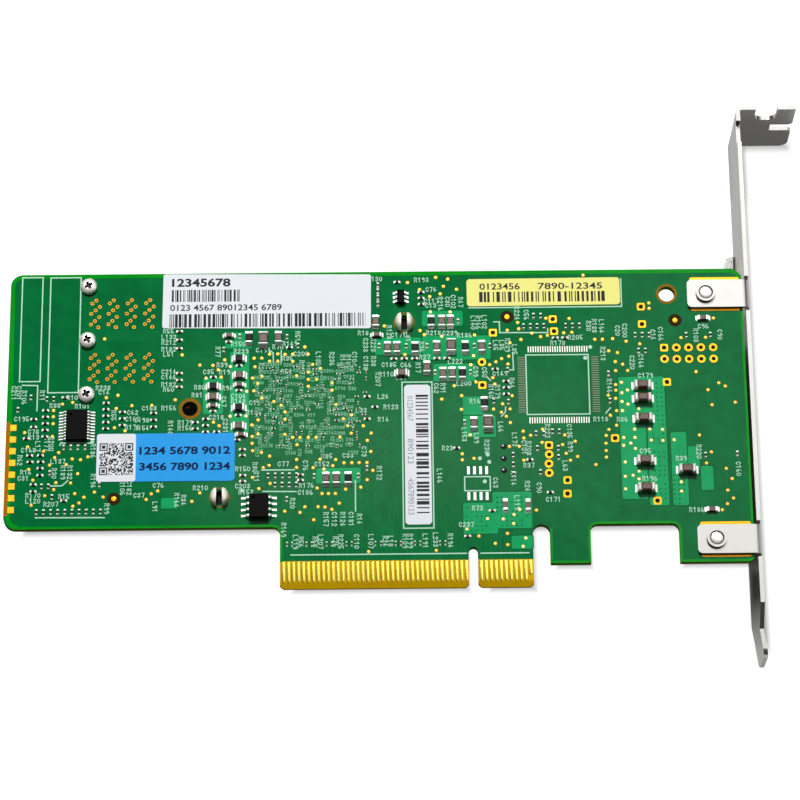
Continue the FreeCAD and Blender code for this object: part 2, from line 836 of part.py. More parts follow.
def placed_chips(rows):
    """Bodies and terminals of the listed chips, each row being (x, y, upright, size)."""
    bodies = []
    terminals = []
    for x, y, upright, size in rows:
        body, ends = two_terminal_chip(x, y, upright, size)
        bodies.append(body)
        terminals += ends
    return bodies, terminals


def beside_controller(offset):
    return (controller_x + offset[0], controller_y + offset[1])


def from_controller(offsets, upright, size):
    return [beside_controller(offset) + (upright, size) for offset in offsets]


def from_left_top(offsets, upright, size):
    return [(board_left_x + dx, board_top_y - dy, upright, size) for dx, dy in offsets]


def from_right(offsets, upright, size):
    return [(board_right_x - dx, shoulder_y + dy, upright, size) for dx, dy in offsets]


def large_capacitors():
    """Power-stage capacitors beside the bracket."""
    return placed_chips(from_right(large_chip_places, False, large_chip))


def filter_capacitors():
    """Smaller capacitors of the supply filters around the controller."""
    rows = from_controller(crosswise_capacitors, False, medium_chip)
    rows += from_controller(small_capacitors, False, small_chip)
    rows += from_controller(upright_capacitors, True, medium_chip)
    rows += from_controller(tall_capacitors, True, tall_chip)
    rows += from_left_top([under_label_upright_capacitor], True, medium_chip)
    rows += from_left_top([under_label_tall_capacitor], True, tall_chip)
    rows += from_left_top([under_label_small_capacitor], False, small_chip)
    return placed_chips(rows)


def filter_beads():
    """Dark ferrite beads of the same filters."""
    rows = from_controller(crosswise_beads, False, medium_chip)
    rows += from_controller(upright_beads, True, medium_chip)
    rows += from_left_top([under_label_bead], True, medium_chip)
    return placed_chips(rows)


def power_inductors():
    """Shielded inductors of the two supplies on the component face, with their end terminals."""
    bodies = []
    terminals = []
    half = inductor_size / 2
    low_z = component_face_z - inductor_height
    x = board_right_x - inductor_from_right
    for height in supply_heights:
        y = shoulder_y + height
        corners = cut_corner_centred(x, y, inductor_size, inductor_size, inductor_corner)
        bodies.append(prism(corners, on_xy, low_z, inductor_height))
        for direction in (-1, 1):
            end_x = x + direction * (half + inductor_terminal_thickness / 2)
            plan = centred(end_x, y, inductor_terminal_thickness, inductor_terminal_width)
            tall = inductor_height * terminal_share
            terminals.append(prism(plan, on_xy, component_face_z - tall, tall))
    return bodies, terminals


def regulators():
    """Leadless switching regulators beside the inductors."""
    chips = []
    x = board_right_x - regulator_from_right
    low_z = component_face_z - regulator_height
    for height in supply_heights:
        plan = centred(x, shoulder_y + height, regulator_size, regulator_size)
        chips.append(prism(plan, on_xy, low_z, regulator_height))
    return chips


def polymer_capacitors():
    """Moulded bulk capacitors with bent end terminals on the component face."""
    bodies = []
    terminals = []
    low_z = component_face_z - polymer_height
    x = board_right_x - inductor_from_right
    for height in supply_heights:
        y = shoulder_y + height + polymer_above_inductor
        plan = centred(x, y, polymer_length, polymer_width)
        slab = prism(plan, on_xy, low_z, polymer_height)
        bodies.append(chamfer_flat_top(slab, low_z, chip_chamfer))
        for direction in (-1, 1):
            end_x = x + direction * (polymer_length + polymer_terminal_thickness) / 2
            strip = centred(end_x, y, polymer_terminal_thickness, polymer_width * terminal_share)
            tall = polymer_height * terminal_share
            terminals.append(prism(strip, on_xy, component_face_z - tall, tall))
    return bodies, terminals


def flash_chip():
    """Leadless boot memory on the component face."""
    x, y = beside_controller(flash_from_controller)
    low_z = component_face_z - flash_height
    return [prism(centred(x, y, flash_length, flash_width), on_xy, low_z, flash_height)]


def crystal():
    """Metal-lidded clock crystal on the component face."""
    x, y = beside_controller(crystal_from_controller)
    low_z = component_face_z - crystal_height
    plan = cut_corner_centred(x, y, crystal_length, crystal_width, crystal_corner)
    return [prism(plan, on_xy, low_z, crystal_height)]


def status_leds():
    """Indicator lamps beside the bracket on the component face."""
    leds = []
    x = board_right_x - led_from_right
    low_z = component_face_z - led_height
    for index in range(led_count):
        y = board_top_y - led_from_top - index * led_pitch
        leds.append(prism(centred(x, y, led_length, led_width), on_xy, low_z, led_height))
    return leds


def label(left, top, size, degrees=0):
    """Printed label laid on the solder face with its upper left corner at (left, top)."""
    width, height, corner = size
    solid = prism(cut_corner_rectangle(0, -height, width, 0, corner), on_xy, 0, label_thickness)
    solid.rotate(V(0, 0, 0), V(0, 0, 1), degrees)
    solid.translate(V(left, top, 0))
    return [solid]


def build():
    os.makedirs("parts", exist_ok=True)
    save("circuit_board", board())
    save("edge_contacts_solder_side", edge_contacts(0))
    save("edge_contacts_component_side", edge_contacts(component_face_z - contact_thickness))
    save("edge_test_pads", edge_test_pads())
    save("mounting_bracket", bracket())
    save("bracket_screws", bracket_screws())
    save("controller_chip", controller())
    save("thermal_pad", thermal_pad())
    save("heatsink", heatsink())
    save("heatsink_push_pins", push_pins())
    save("push_pin_springs", push_pin_springs())
    save("connector_frame", connector_frame())
    save("port_insulators", port_insulators())
    save("port_contacts", port_contacts())
    save("connector_screws", connector_screws())
    expander_place = (board_left_x + expander_from_left, board_top_y - expander_from_top)
    memory_place = beside_controller(memory_from_controller)
    supervisor_place = beside_controller(supervisor_from_controller)
    leaded = {
        "expander_chip": leaded_chip(*expander_place, expander_package, expander_lead_count),
        "memory_chip": leaded_chip(*memory_place, memory_package, memory_lead_count),
        "supervisor_chip": leaded_chip(*supervisor_place, supervisor_package, supervisor_lead_count),
    }
    for name, (body, leads) in leaded.items():
        save(name + "_body", body)
        save(name + "_leads", leads)
    pairs = {
        "large_capacitor": large_capacitors(),
        "filter_capacitor": filter_capacitors(),
        "filter_bead": filter_beads(),
        "power_inductor": power_inductors(),
        "polymer_capacitor": polymer_capacitors(),
    }
    for name, (bodies, terminals) in pairs.items():
        save(name + "_bodies", bodies)
        save(name + "_terminals", terminals)
    save("regulator_chips", regulators())
    save("flash_chip", flash_chip())
    save("crystal", crystal())
    save("status_leds", status_leds())
    white_x = board_left_x + white_label_from_left_top[0]
    white_y = board_top_y - white_label_from_left_top[1]
    save("white_label", label(white_x, white_y, white_label, white_label_degrees))
    supervisor_right_x = supervisor_place[0] + supervisor_span / 2
    middle_x = (supervisor_right_x + plate_x - tab_length) / 2
    yellow_x = middle_x + yellow_label_from_middle - yellow_label_width / 2
    yellow_y = board_top_y - yellow_label_from_top
    save("yellow_label", label(yellow_x, yellow_y, yellow_label, yellow_label_degrees))
    blue_x = board_left_x + blue_label_from_left
    save("blue_label", label(blue_x, shoulder_y + blue_label_above_shoulder, blue_label))
    save("narrow_label", label(*beside_controller(narrow_label_from_controller), narrow_label))


build()
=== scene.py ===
"""Looks of a drive adapter card, laid out as an add-on and run as a script.

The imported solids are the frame. The pieces made here stand on the board's solder face, which is up in
the frame, or on its component face, which is down. Lengths are in millimetres until a mesh is made.
"""

import math
import random

import bmesh
import bpy
from mathutils import Matrix, Vector


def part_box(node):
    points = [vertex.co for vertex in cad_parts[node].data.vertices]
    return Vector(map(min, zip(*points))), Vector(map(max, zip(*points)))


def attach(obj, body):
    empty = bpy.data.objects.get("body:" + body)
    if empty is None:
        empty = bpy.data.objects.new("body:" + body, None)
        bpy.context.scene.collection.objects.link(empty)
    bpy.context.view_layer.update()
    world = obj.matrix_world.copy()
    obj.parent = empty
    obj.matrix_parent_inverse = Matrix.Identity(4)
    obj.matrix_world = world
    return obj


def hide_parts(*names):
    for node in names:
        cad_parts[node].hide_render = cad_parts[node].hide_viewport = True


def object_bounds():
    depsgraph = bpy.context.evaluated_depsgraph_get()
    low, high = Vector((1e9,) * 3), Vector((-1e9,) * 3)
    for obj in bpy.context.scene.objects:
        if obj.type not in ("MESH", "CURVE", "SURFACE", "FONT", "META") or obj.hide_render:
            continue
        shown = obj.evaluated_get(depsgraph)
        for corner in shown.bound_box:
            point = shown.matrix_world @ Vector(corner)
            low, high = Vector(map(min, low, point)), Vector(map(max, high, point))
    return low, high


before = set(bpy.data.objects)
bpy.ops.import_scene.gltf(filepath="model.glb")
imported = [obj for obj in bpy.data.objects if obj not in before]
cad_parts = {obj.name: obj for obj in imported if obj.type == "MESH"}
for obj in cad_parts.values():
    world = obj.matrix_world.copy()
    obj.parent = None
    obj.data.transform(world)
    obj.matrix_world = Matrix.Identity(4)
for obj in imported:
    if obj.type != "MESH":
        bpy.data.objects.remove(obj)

bl_info = {
    "name": "Drive adapter card",
    "version": (1, 0, 0),
    "blender": (4, 5, 0),
    "location": "View3D > Sidebar > Card",
    "description": "Dresses a packed drive adapter card with finishes, print and fine pieces",
    "category": "Mesh",
}

MM = 0.001
CARD_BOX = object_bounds()


def node_box(node):
    """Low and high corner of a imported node, in millimetres."""
    low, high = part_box(node)
    return low / MM, high / MM


BOARD_LOW, BOARD_HIGH = node_box("circuit_board")
UNDERSIDE = BOARD_LOW.z - BOARD_HIGH.z
BARE_TOP = node_box("edge_contacts_solder_side")[1].y + 0.15
CORNER_RADIUS = 2.5
INNER_RADIUS = 1.5
BOARD_POINTS = [point.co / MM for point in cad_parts["circuit_board"].data.vertices]
TONGUE_LEFT = min(p.x for p in BOARD_POINTS if p.y < BARE_TOP)
TONGUE_RIGHT = max(p.x for p in BOARD_POINTS if p.y < BARE_TOP / 2)
SHOULDER = min(p.y for p in BOARD_POINTS if p.x < TONGUE_LEFT - CORNER_RADIUS)
LEG_FOOT = min(p.y for p in BOARD_POINTS if p.x > TONGUE_RIGHT + CORNER_RADIUS)
LEG_POINTS = [p for p in BOARD_POINTS if p.x > TONGUE_RIGHT + 1 and p.y < LEG_FOOT + 0.01]
TAB_LEFT, TAB_RIGHT, LEG_LEFT = sorted({round(p.x, 3) for p in LEG_POINTS})[:3]
FOOT = sorted({round(p.x, 2) for p in BOARD_POINTS if p.y < BOARD_LOW.y + 0.01})
BRACKET_HIGH = node_box("mounting_bracket")[1]
BRACKET_POINTS = [point.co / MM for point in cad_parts["mounting_bracket"].data.vertices]
PLATE_LEFT = min(p.x for p in BRACKET_POINTS if p.y > BOARD_HIGH.y + 8)
PLATE_RIGHT = max(p.x for p in BRACKET_POINTS if BOARD_LOW.y < p.y < SHOULDER)

# Rises from the face that a piece stands on. Copper starts a little under it, and each area or level of
# tracks lies a step over the one before.
SINK = -0.005
TRACK_RISE = 0.004
TRACK_STEP = 0.0004
GAP_RISE = 0.014
POUR_RISE = 0.017
POUR_STEP = 0.0001
RING_RISE = 0.025
SILK_RISE = 0.027
LAND_RISE = 0.03
MARK_RISE = 0.03
INK_RISE = 0.012

# Stroke letters on a grid of three columns and five rows, a to o from the top left.
GLYPHS = {
    "0": ("bflnjdb",),
    "1": ("dbn",),
    "2": ("dbfmo",),
    "3": ("dbfhlnj",),
    "4": ("bjl", "en"),
    "5": ("caghlnj",),
    "6": ("bdjnlhd",),
    "7": ("acn",),
    "8": ("bfjnldb",),
    "9": ("fbdhfln",),
    "C": ("fbdjnl",),
    "R": ("mabfhg", "ho"),
    "L": ("amo",),
}

# Plated through vias, left to right over the solder face.
VIAS_LEFT = (
    (-75.0, 41.4), (-72.6, 41.9), (-72.9, 39.0), (-73.2, 34.8), (-71.0, 34.1), (-84.0, 40.1),
    (-81.9, 40.4), (-85.8, 38.7), (-85.8, 37.3), (-85.8, 35.8), (-85.9, 33.0), (-91.6, 33.9),
    (-90.9, 30.8), (-87.6, 29.8), (-84.5, 29.5), (-85.3, 28.4), (-82.9, 26.9), (-81.7, 28.1),
    (-80.0, 27.9), (-78.5, 28.5), (-86.3, 26.8), (-90.5, 25.9), (-80.5, 24.9), (-89.6, 23.6),
    (-84.9, 23.0), (-81.9, 22.9), (-85.3, 21.5), (-81.0, 20.6), (-79.1, 19.8), (-77.0, 20.9),
    (-75.2, 19.8), (-87.1, 20.2), (-80.1, 18.6), (-81.3, 17.9), (-89.8, 18.2), (-75.6, 54.4),
    (-59.5, 50.7), (-60.8, 40.8), (-69.7, 39.6), (-65.6, 39.6), (-55.8, 48.4), (-65.4, 20.4),
    (-64.1, 21.0), (-66.4, 19.2), (-55.5, 20.5), (-57.1, 18.7), (-53.1, 48.3), (-52.0, 47.3),
    (-50.7, 49.5), (-49.5, 48.0), (-54.5, 45.5), (-51.4, 45.7), (-46.1, 42.5), (-49.5, 37.1),
    (-46.2, 37.1), (-52.9, 35.8), (-51.7, 35.0),
)
VIAS_CONTROLLER = (
    (-44.6, 49.8), (-43.0, 49.8), (-44.4, 47.9), (-43.0, 45.8), (-43.8, 44.2), (-44.9, 45.4),
    (-44.6, 42.6), (-43.0, 41.0), (-43.7, 36.2), (-45.0, 35.1), (-43.7, 33.1), (-44.9, 32.6),
    (-44.9, 31.1), (-40.5, 40.2), (-39.0, 39.4), (-38.2, 37.9), (-38.2, 36.3), (-38.2, 33.0),
    (-36.6, 32.3), (-35.1, 32.3), (-33.4, 32.3), (-35.7, 30.7), (-41.4, 50.7), (-39.7, 50.7),
    (-38.2, 50.6), (-36.6, 50.6), (-41.4, 49.1), (-39.7, 49.1), (-36.6, 49.0), (-34.1, 52.2),
    (-33.4, 50.6), (-35.8, 45.8), (-33.4, 46.6), (-33.4, 45.0), (-33.4, 43.5), (-32.5, 48.3),
    (-30.9, 47.4), (-31.7, 45.0), (-28.5, 44.2), (-28.5, 42.6), (-27.7, 39.4), (-24.5, 37.1),
    (-26.2, 36.3), (-25.3, 34.7), (-22.1, 34.7), (-24.6, 33.1), (-20.5, 33.1), (-21.3, 31.5),
    (-26.9, 32.3), (-31.8, 32.3), (-20.6, 29.1), (-20.2, 25.0), (-21.4, 23.0), (-22.7, 21.4),
    (-25.8, 21.0), (-27.9, 20.1), (-29.3, 20.1), (-30.6, 20.1), (-31.6, 21.3), (-32.4, 25.7),
    (-30.2, 25.4), (-28.4, 26.1), (-26.1, 26.7), (-24.5, 26.7), (-23.0, 26.7), (-21.4, 26.7),
    (-31.0, 27.5), (-27.8, 27.4), (-35.8, 27.5), (-35.8, 25.8), (-41.4, 26.3), (-42.6, 25.8),
    (-41.2, 22.4), (-43.5, 21.3), (-44.8, 23.7), (-27.1, 18.0), (-30.0, 17.2), (-31.4, 17.3),
    (-34.1, 17.3), (-44.8, 29.5), (-43.0, 29.1), (-41.3, 28.3), (-35.1, 16.1), (-38.2, 16.4),
    (-32.3, 14.5), (-28.6, 16.7), (-21.2, 7.6), (-7.5, 7.7),
)
VIAS_MIDDLE = (
    (-17.6, 56.7), (-10.2, 55.6), (-9.3, 54.7), (-13.4, 50.3), (-12.7, 66.4), (-10.2, 64.8),
    (-6.8, 67.5), (-4.3, 67.1), (-5.2, 65.5), (-8.1, 63.2), (-5.9, 63.8), (-2.5, 64.8),
    (-8.0, 59.8), (-3.9, 59.7), (24.0, 67.7), (-5.7, 54.3), (1.1, 54.5), (0.8, 49.9), (0.2, 47.9),
    (4.1, 47.9), (5.4, 48.5), (6.6, 49.2), (8.1, 49.7), (7.9, 48.0), (8.4, 52.7), (10.7, 53.4),
    (10.1, 57.2), (10.3, 55.8), (7.9, 55.5), (13.0, 54.8), (14.8, 54.0), (16.2, 54.3),
    (16.0, 58.1), (4.7, 45.0), (1.2, 44.1), (-3.3, 43.3), (5.1, 43.6), (-1.8, 41.1), (-1.9, 38.1),
    (-5.9, 40.4), (8.6, 41.0), (6.6, 39.2), (8.1, 38.1), (6.3, 37.4), (7.3, 36.5), (8.1, 35.1),
    (4.7, 38.1), (10.7, 33.2), (10.8, 31.7), (12.2, 32.3), (14.7, 33.6), (14.5, 30.7),
    (19.2, 32.3), (18.7, 30.2), (21.3, 30.9), (19.4, 28.3), (20.2, 26.8), (21.7, 27.6),
    (25.4, 25.8), (10.7, 26.9), (9.8, 29.9), (7.8, 29.9), (-1.9, 28.4), (-1.9, 27.1), (0.5, 27.4),
    (-0.2, 32.5), (-1.2, 12.2), (1.2, 10.7), (7.0, 11.2), (4.5, 9.1), (7.0, 8.8), (10.7, 10.2),
    (10.1, 8.4), (3.0, 14.4), (6.2, 14.3), (8.3, 13.3), (8.4, 15.2), (9.6, 16.3), (13.0, 16.1),
)
VIAS_RIGHT = (
    (20.8, 58.0), (19.6, 54.8), (21.3, 54.9), (26.0, 53.3), (27.6, 53.3), (29.7, 53.4),
    (32.5, 52.8), (35.3, 52.2), (28.8, 50.7), (30.6, 50.3), (30.1, 48.3), (31.6, 47.7),
    (30.1, 46.3), (32.6, 46.3), (31.2, 43.7), (30.0, 43.2), (30.0, 42.0), (28.4, 40.9),
    (29.9, 40.2), (31.2, 41.4), (32.4, 42.0), (31.2, 39.5), (32.4, 38.9), (34.6, 37.9),
    (30.0, 37.5), (31.2, 37.5), (28.7, 36.5), (29.9, 34.3), (28.3, 33.4), (33.6, 33.4),
    (36.7, 33.4), (39.3, 33.3), (33.6, 31.6), (36.9, 31.0), (39.3, 30.9), (41.6, 31.0),
    (31.3, 31.6), (31.2, 29.9), (32.7, 30.4), (33.6, 29.2), (27.7, 32.1), (27.6, 30.4),
    (27.6, 28.8), (27.6, 27.4), (31.4, 26.3), (31.3, 23.2), (31.3, 20.5), (32.9, 23.4),
    (34.2, 24.3), (34.1, 22.6), (51.3, 43.4), (52.6, 42.7), (49.0, 41.9), (49.7, 38.6),
    (54.5, 39.1), (46.8, 32.0), (49.1, 28.3), (48.0, 25.9), (52.0, 24.7), (53.1, 22.5),
    (52.1, 20.0), (53.2, 18.3), (42.7, 21.9), (42.7, 19.9), (50.8, 57.8), (43.9, 53.5),
    (49.0, 53.5), (46.7, 45.9), (50.8, 15.8), (51.9, 17.1), (37.5, 61.3), (37.5, 60.1),
)
ALL_VIAS = VIAS_LEFT + VIAS_CONTROLLER + VIAS_MIDDLE + VIAS_RIGHT

SQUARE_PADS = (
    (17.4, 57.9), (17.6, 55.2), (4.9, 55.0), (2.5, 43.4), (35.8, 60.5), (35.9, 56.6), (40.6, 43.7),
    (15.9, 30.1), (29.5, 31.5), (19.5, 22.5), (19.4, 19.6), (37.7, 17.9), (40.3, 51.3),
)
ROUND_PADS = ((2.5, 48.5), (15.9, 28.1), (15.8, 26.1), (15.8, 24.1), (40.3, 48.8))
HEADER_START = (40.3, 51.3)
HEADER_PITCH = 2.54
HEADER_COLUMNS = 5
FIDUCIALS = ((-73.0, 19.4), (7.9, 58.5), (42.8, 57.4))
SOLDER_BUMPS = ((6.6, 29.9), (6.6, 27.3), (6.6, 24.7))
SQUARE_PAD = 1.62
ROUND_HOLE = 0.45
TEST_PAD_LOW = 17.2
TEST_PAD_COUNT = 8

# Plated rings of the two drilled holes: place, inner and outer radius.
HOLE_RINGS = ((41.25, 63.3, 1.66, 2.2), (-57.75, 38.8, 1.61, 2.3))

# Pad rows of two open chip places: finish, first place, step, count, length, width, rise and cut.
PAD_ROWS = (
    ("tin_dull", 12.15, 51.2, 0.505, 0.0, 25, 0.24, 1.3, 0.04, 0.01),
    ("tin_dull", 12.15, 35.55, 0.505, 0.0, 25, 0.24, 1.3, 0.04, 0.01),
    ("tin_shade", 10.6, 37.4, 0.0, 0.5, 25, 1.5, 0.2, 0.04, 0.01),
    ("tin_shade", 25.9, 37.4, 0.0, 0.5, 25, 1.5, 0.2, 0.04, 0.01),
    ("tin_bright", -0.7, 24.8, 1.24, 0.0, 4, 0.55, 1.7, 0.05, 0.015),
    ("tin_bright", -0.7, 19.25, 1.24, 0.0, 4, 0.55, 1.7, 0.05, 0.015),
)

# Through pins of the drive connector: columns, then nine pins each on rising diagonals.
PIN_HOLE = 0.19
PIN_COLUMNS = (-78.34, -74.71, -70.95, -67.15)
PIN_TOPS = (62.33, 50.18)
PIN_STEPS = (
    (0.0, 0.0), (0.82, 0.69), (-0.18, -2.3), (0.72, -1.53), (1.61, -0.77),
    (-0.18, -4.67), (0.61, -3.91), (1.5, -3.03), (1.36, -5.33),
)

# Copper areas that show bright under the lacquer: left, bottom, right, top.
POURS = (
    (30.5, 34.3, 40.0, 44.9), (30.6, 18.3, 35.9, 34.4), (36.2, 16.9, 40.1, 34.4), (40.9, 16.9, 44.1, 32.7),
    (44.3, 24.4, 46.6, 29.6), (46.8, 20.1, 49.3, 25.3), (-49.6, 33.4, -45.6, 51.3),
    (-55.1, 37.6, -50.9, 45.6), (-31.8, 22.3, -22.7, 25.6), (-19.6, 50.3, -10.0, 54.1),
    (-9.8, 56.6, -1.3, 60.0), (-9.8, 49.1, 4.4, 54.4), (-7.6, 44.3, 1.2, 48.2),
    (-1.6, 36.9, 2.6, 40.9), (-1.6, 32.0, 5.1, 36.7), (-1.9, 11.2, 5.1, 17.8), (4.1, 12.3, 12.1, 20.1),
    (7.8, 7.9, 12.1, 10.7), (-50.6, 52.0, -45.0, 55.6), (-63.4, 17.2, -60.0, 19.5),
)
DOTTED_POURS = (
    (37.4, 17.4, 39.8, 44.4), (41.2, 17.3, 43.8, 24.0), (5.0, 12.9, 12.0, 19.4), (-1.2, 11.9, 3.6, 17.4),
)
POUR_GAP = 0.4
DOT_SHARE = 0.8
DOT_PROFILE = ((0.24, 0.0), (0.2, 0.021))

# Tracks between vias: their greatest length, and the number of levels they are spread over.
LONGEST_TRACK = 9.0
VIA_LEVELS = 24

# Small chip parts: body, turn, single places, then rows as x, y, count and step in x and y.
SMALL_PARTS = (
    ("resistor_black", 0, (
        (-91.2, 32.6), (-47.7, 48.2), (-53.0, 45.7), (-47.8, 37.3), (-52.2, 33.7), (-37.3, 52.1),
        (-21.3, 41.1), (-19.7, 38.8), (-21.3, 36.2), (-14.9, 66.5), (5.2, 46.9), (-3.0, 29.7),
        (11.9, 27.0), (15.9, 19.9),
    ), (
        (-87.4, 38.7, 5, 0.0, -1.43), (-75.0, 40.2, 5, 0.0, -1.4), (-71.6, 38.2, 3, 0.0, -1.45),
        (-65.2, 37.9, 3, 0.0, -1.5), (-89.8, 36.8, 2, 0.0, -1.7), (-90.4, 28.9, 2, 2.2, 0.0),
        (-90.3, 27.5, 2, 2.2, 0.0), (-88.2, 26.1, 2, 0.0, -1.5), (-89.5, 22.6, 2, 0.0, -1.5),
        (-54.5, 36.5, 3, 0.0, -1.4), (-56.6, 35.8, 2, 0.0, -1.4), (-9.9, 64.2, 3, 0.0, -1.35),
        (7.4, 44.2, 3, 0.0, -1.4),
    )),
    ("resistor_black", 90, (
        (-90.5, 41.5), (-93.1, 38.8), (-85.6, 19.8), (-35.5, 52.4), (-13.1, 52.1), (7.8, 46.6),
        (7.8, 39.6), (4.8, 39.8), (28.7, 39.6), (47.9, 27.6), (13.5, 29.4), (14.0, 24.2),
    ), (
        (-87.2, 41.1, 2, 1.4, 0.0), (-87.8, 22.1, 2, 1.4, 0.0), (-88.7, 16.6, 10, 1.45, 0.0),
        (1.0, 52.0, 2, 3.2, 0.0), (13.4, 58.6, 2, 1.5, 0.0), (11.3, 56.3, 4, 1.4, 0.0),
        (20.0, 56.3, 3, 1.45, 0.0), (34.4, 54.1, 3, 1.45, 0.0), (35.0, 50.6, 2, 1.4, 0.0),
        (45.0, 54.0, 2, 5.0, 0.0), (13.3, 32.6, 2, 1.6, 0.0), (16.7, 33.0, 2, 1.4, 0.0),
        (17.8, 29.4, 2, 0.0, -2.0), (8.5, 28.0, 3, 0.0, -2.1), (-41.6, 24.0, 5, 1.45, 0.0),
        (-40.2, 22.0, 4, 1.45, 0.0),
    )),
    ("ceramic_small", 0, (
        (-83.5, 41.5), (-83.2, 19.1), (-49.9, 53.5), (-47.7, 42.7), (-53.0, 38.2), (-48.0, 31.9),
        (4.0, 16.1), (-1.1, 10.7),
    ), (
        (-46.9, 29.8, 2, 0.0, -1.3), (-46.8, 24.2, 2, 0.0, -1.3), (-60.1, 55.9, 3, 0.0, -1.9),
        (-60.0, 46.6, 3, 0.0, -1.5), (-15.7, 49.4, 3, 2.15, 0.0), (-6.8, 49.4, 2, 2.1, 0.0),
        (17.8, 53.7, 2, 2.0, 0.0), (-35.0, 24.2, 2, 0.0, -1.2),
    )),
    ("ceramic_small", 90, (
        (-86.2, 25.0), (-76.0, 22.4), (-47.6, 54.6), (-50.9, 51.7), (-37.8, 54.4), (-18.7, 52.2),
        (-8.8, 52.1), (-2.3, 57.5), (-1.3, 35.2), (28.6, 45.6), (54.4, 27.8), (-37.8, 18.9),
        (-32.2, 23.8),
    ), (
        (-83.5, 30.5, 4, 1.47, 0.0), (-18.9, 65.8, 4, 0.0, -1.4), (-7.2, 46.2, 2, 7.3, 0.0),
        (-23.2, 23.8, 2, 1.8, 1.6),
    )),
)
LARGER_CHIPS = ((48.6, 57.8, 0), (48.7, 15.9, 0), (6.7, 17.2, 90), (11.3, 17.1, 90))
FINGER_PART_Y = 9.3
FINGER_PARTS = (
    -37.7, -36.7, -33.8, -32.7, -29.7, -28.6, -25.7, -24.6, -19.8, -18.7, -15.7, -14.6, -11.8, -10.7,
    -6.7, -5.6,
)

# Places of the made-up reference marks: read level, then read upwards.
LEVEL_MARKS = (
    (-75.7, 43.6), (-75.5, 42.6), (-85.5, 39.8), (-81.6, 41.5), (-79.9, 39.6), (-92.3, 36.9), (-89.8, 34.1),
    (-89.7, 32.9), (-90.7, 30.1), (-91.1, 25.3), (-91.6, 24.0), (-84.6, 27.6), (-83.2, 20.0), (-89.5, 20.3),
    (-89.5, 19.1), (-85.8, 18.4), (-69.5, 38.1), (-69.5, 36.7), (-69.5, 34.9), (-66.1, 39.0), (-67.6, 36.4),
    (-67.6, 34.7), (-62.1, 39.0), (-58.7, 35.8), (-58.7, 34.6), (-52.3, 36.9), (-62.4, 56.0), (-62.3, 54.7),
    (-62.3, 53.5), (-62.3, 52.0), (-62.3, 50.9), (-62.2, 47.0), (-62.2, 45.8), (-62.2, 44.2), (-62.2, 43.1),
    (-51.2, 48.4), (-54.0, 46.9), (-50.7, 46.8), (-55.8, 43.5), (-56.3, 41.8), (-50.1, 43.3), (-47.8, 41.5),
    (-47.8, 40.4), (-47.3, 51.4), (-47.9, 53.0), (-64.0, 22.2), (-67.9, 20.1), (-55.4, 21.6), (-42.7, 51.6),
    (-39.7, 52.3), (-37.2, 53.0), (-34.9, 50.7), (-37.7, 49.7), (-37.9, 46.8), (-22.0, 55.2), (-14.7, 54.7),
    (-17.3, 46.0), (-14.2, 45.2), (-16.7, 48.1), (-13.2, 48.0), (-18.0, 41.1), (-16.4, 38.8), (-22.5, 38.1),
    (-18.0, 36.1), (-44.6, 37.9), (-44.4, 40.0), (-38.5, 26.6), (-46.8, 25.6), (-46.8, 21.9), (-29.6, 28.2),
    (-25.3, 28.3), (-30.6, 26.5), (-33.8, 21.9), (-34.0, 20.4), (-46.1, 20.6), (-7.8, 64.8), (-7.8, 62.2),
    (-7.9, 61.2), (22.0, 53.8), (18.3, 52.6), (-7.4, 55.1), (-4.0, 55.0), (-1.0, 54.5), (-9.3, 49.7),
    (-3.0, 48.7), (-1.3, 43.8), (6.2, 45.9), (26.7, 35.7), (31.1, 35.6), (1.3, 39.9), (-4.9, 29.7),
    (11.7, 25.8), (16.5, 18.4), (35.6, 28.7), (36.3, 22.7), (1.0, 16.7), (36.2, 45.2), (48.6, 56.0),
    (45.6, 15.9), (42.9, 27.0), (-1.3, 13.2), (-19.5, 67.3), (-9.8, 67.0),
)
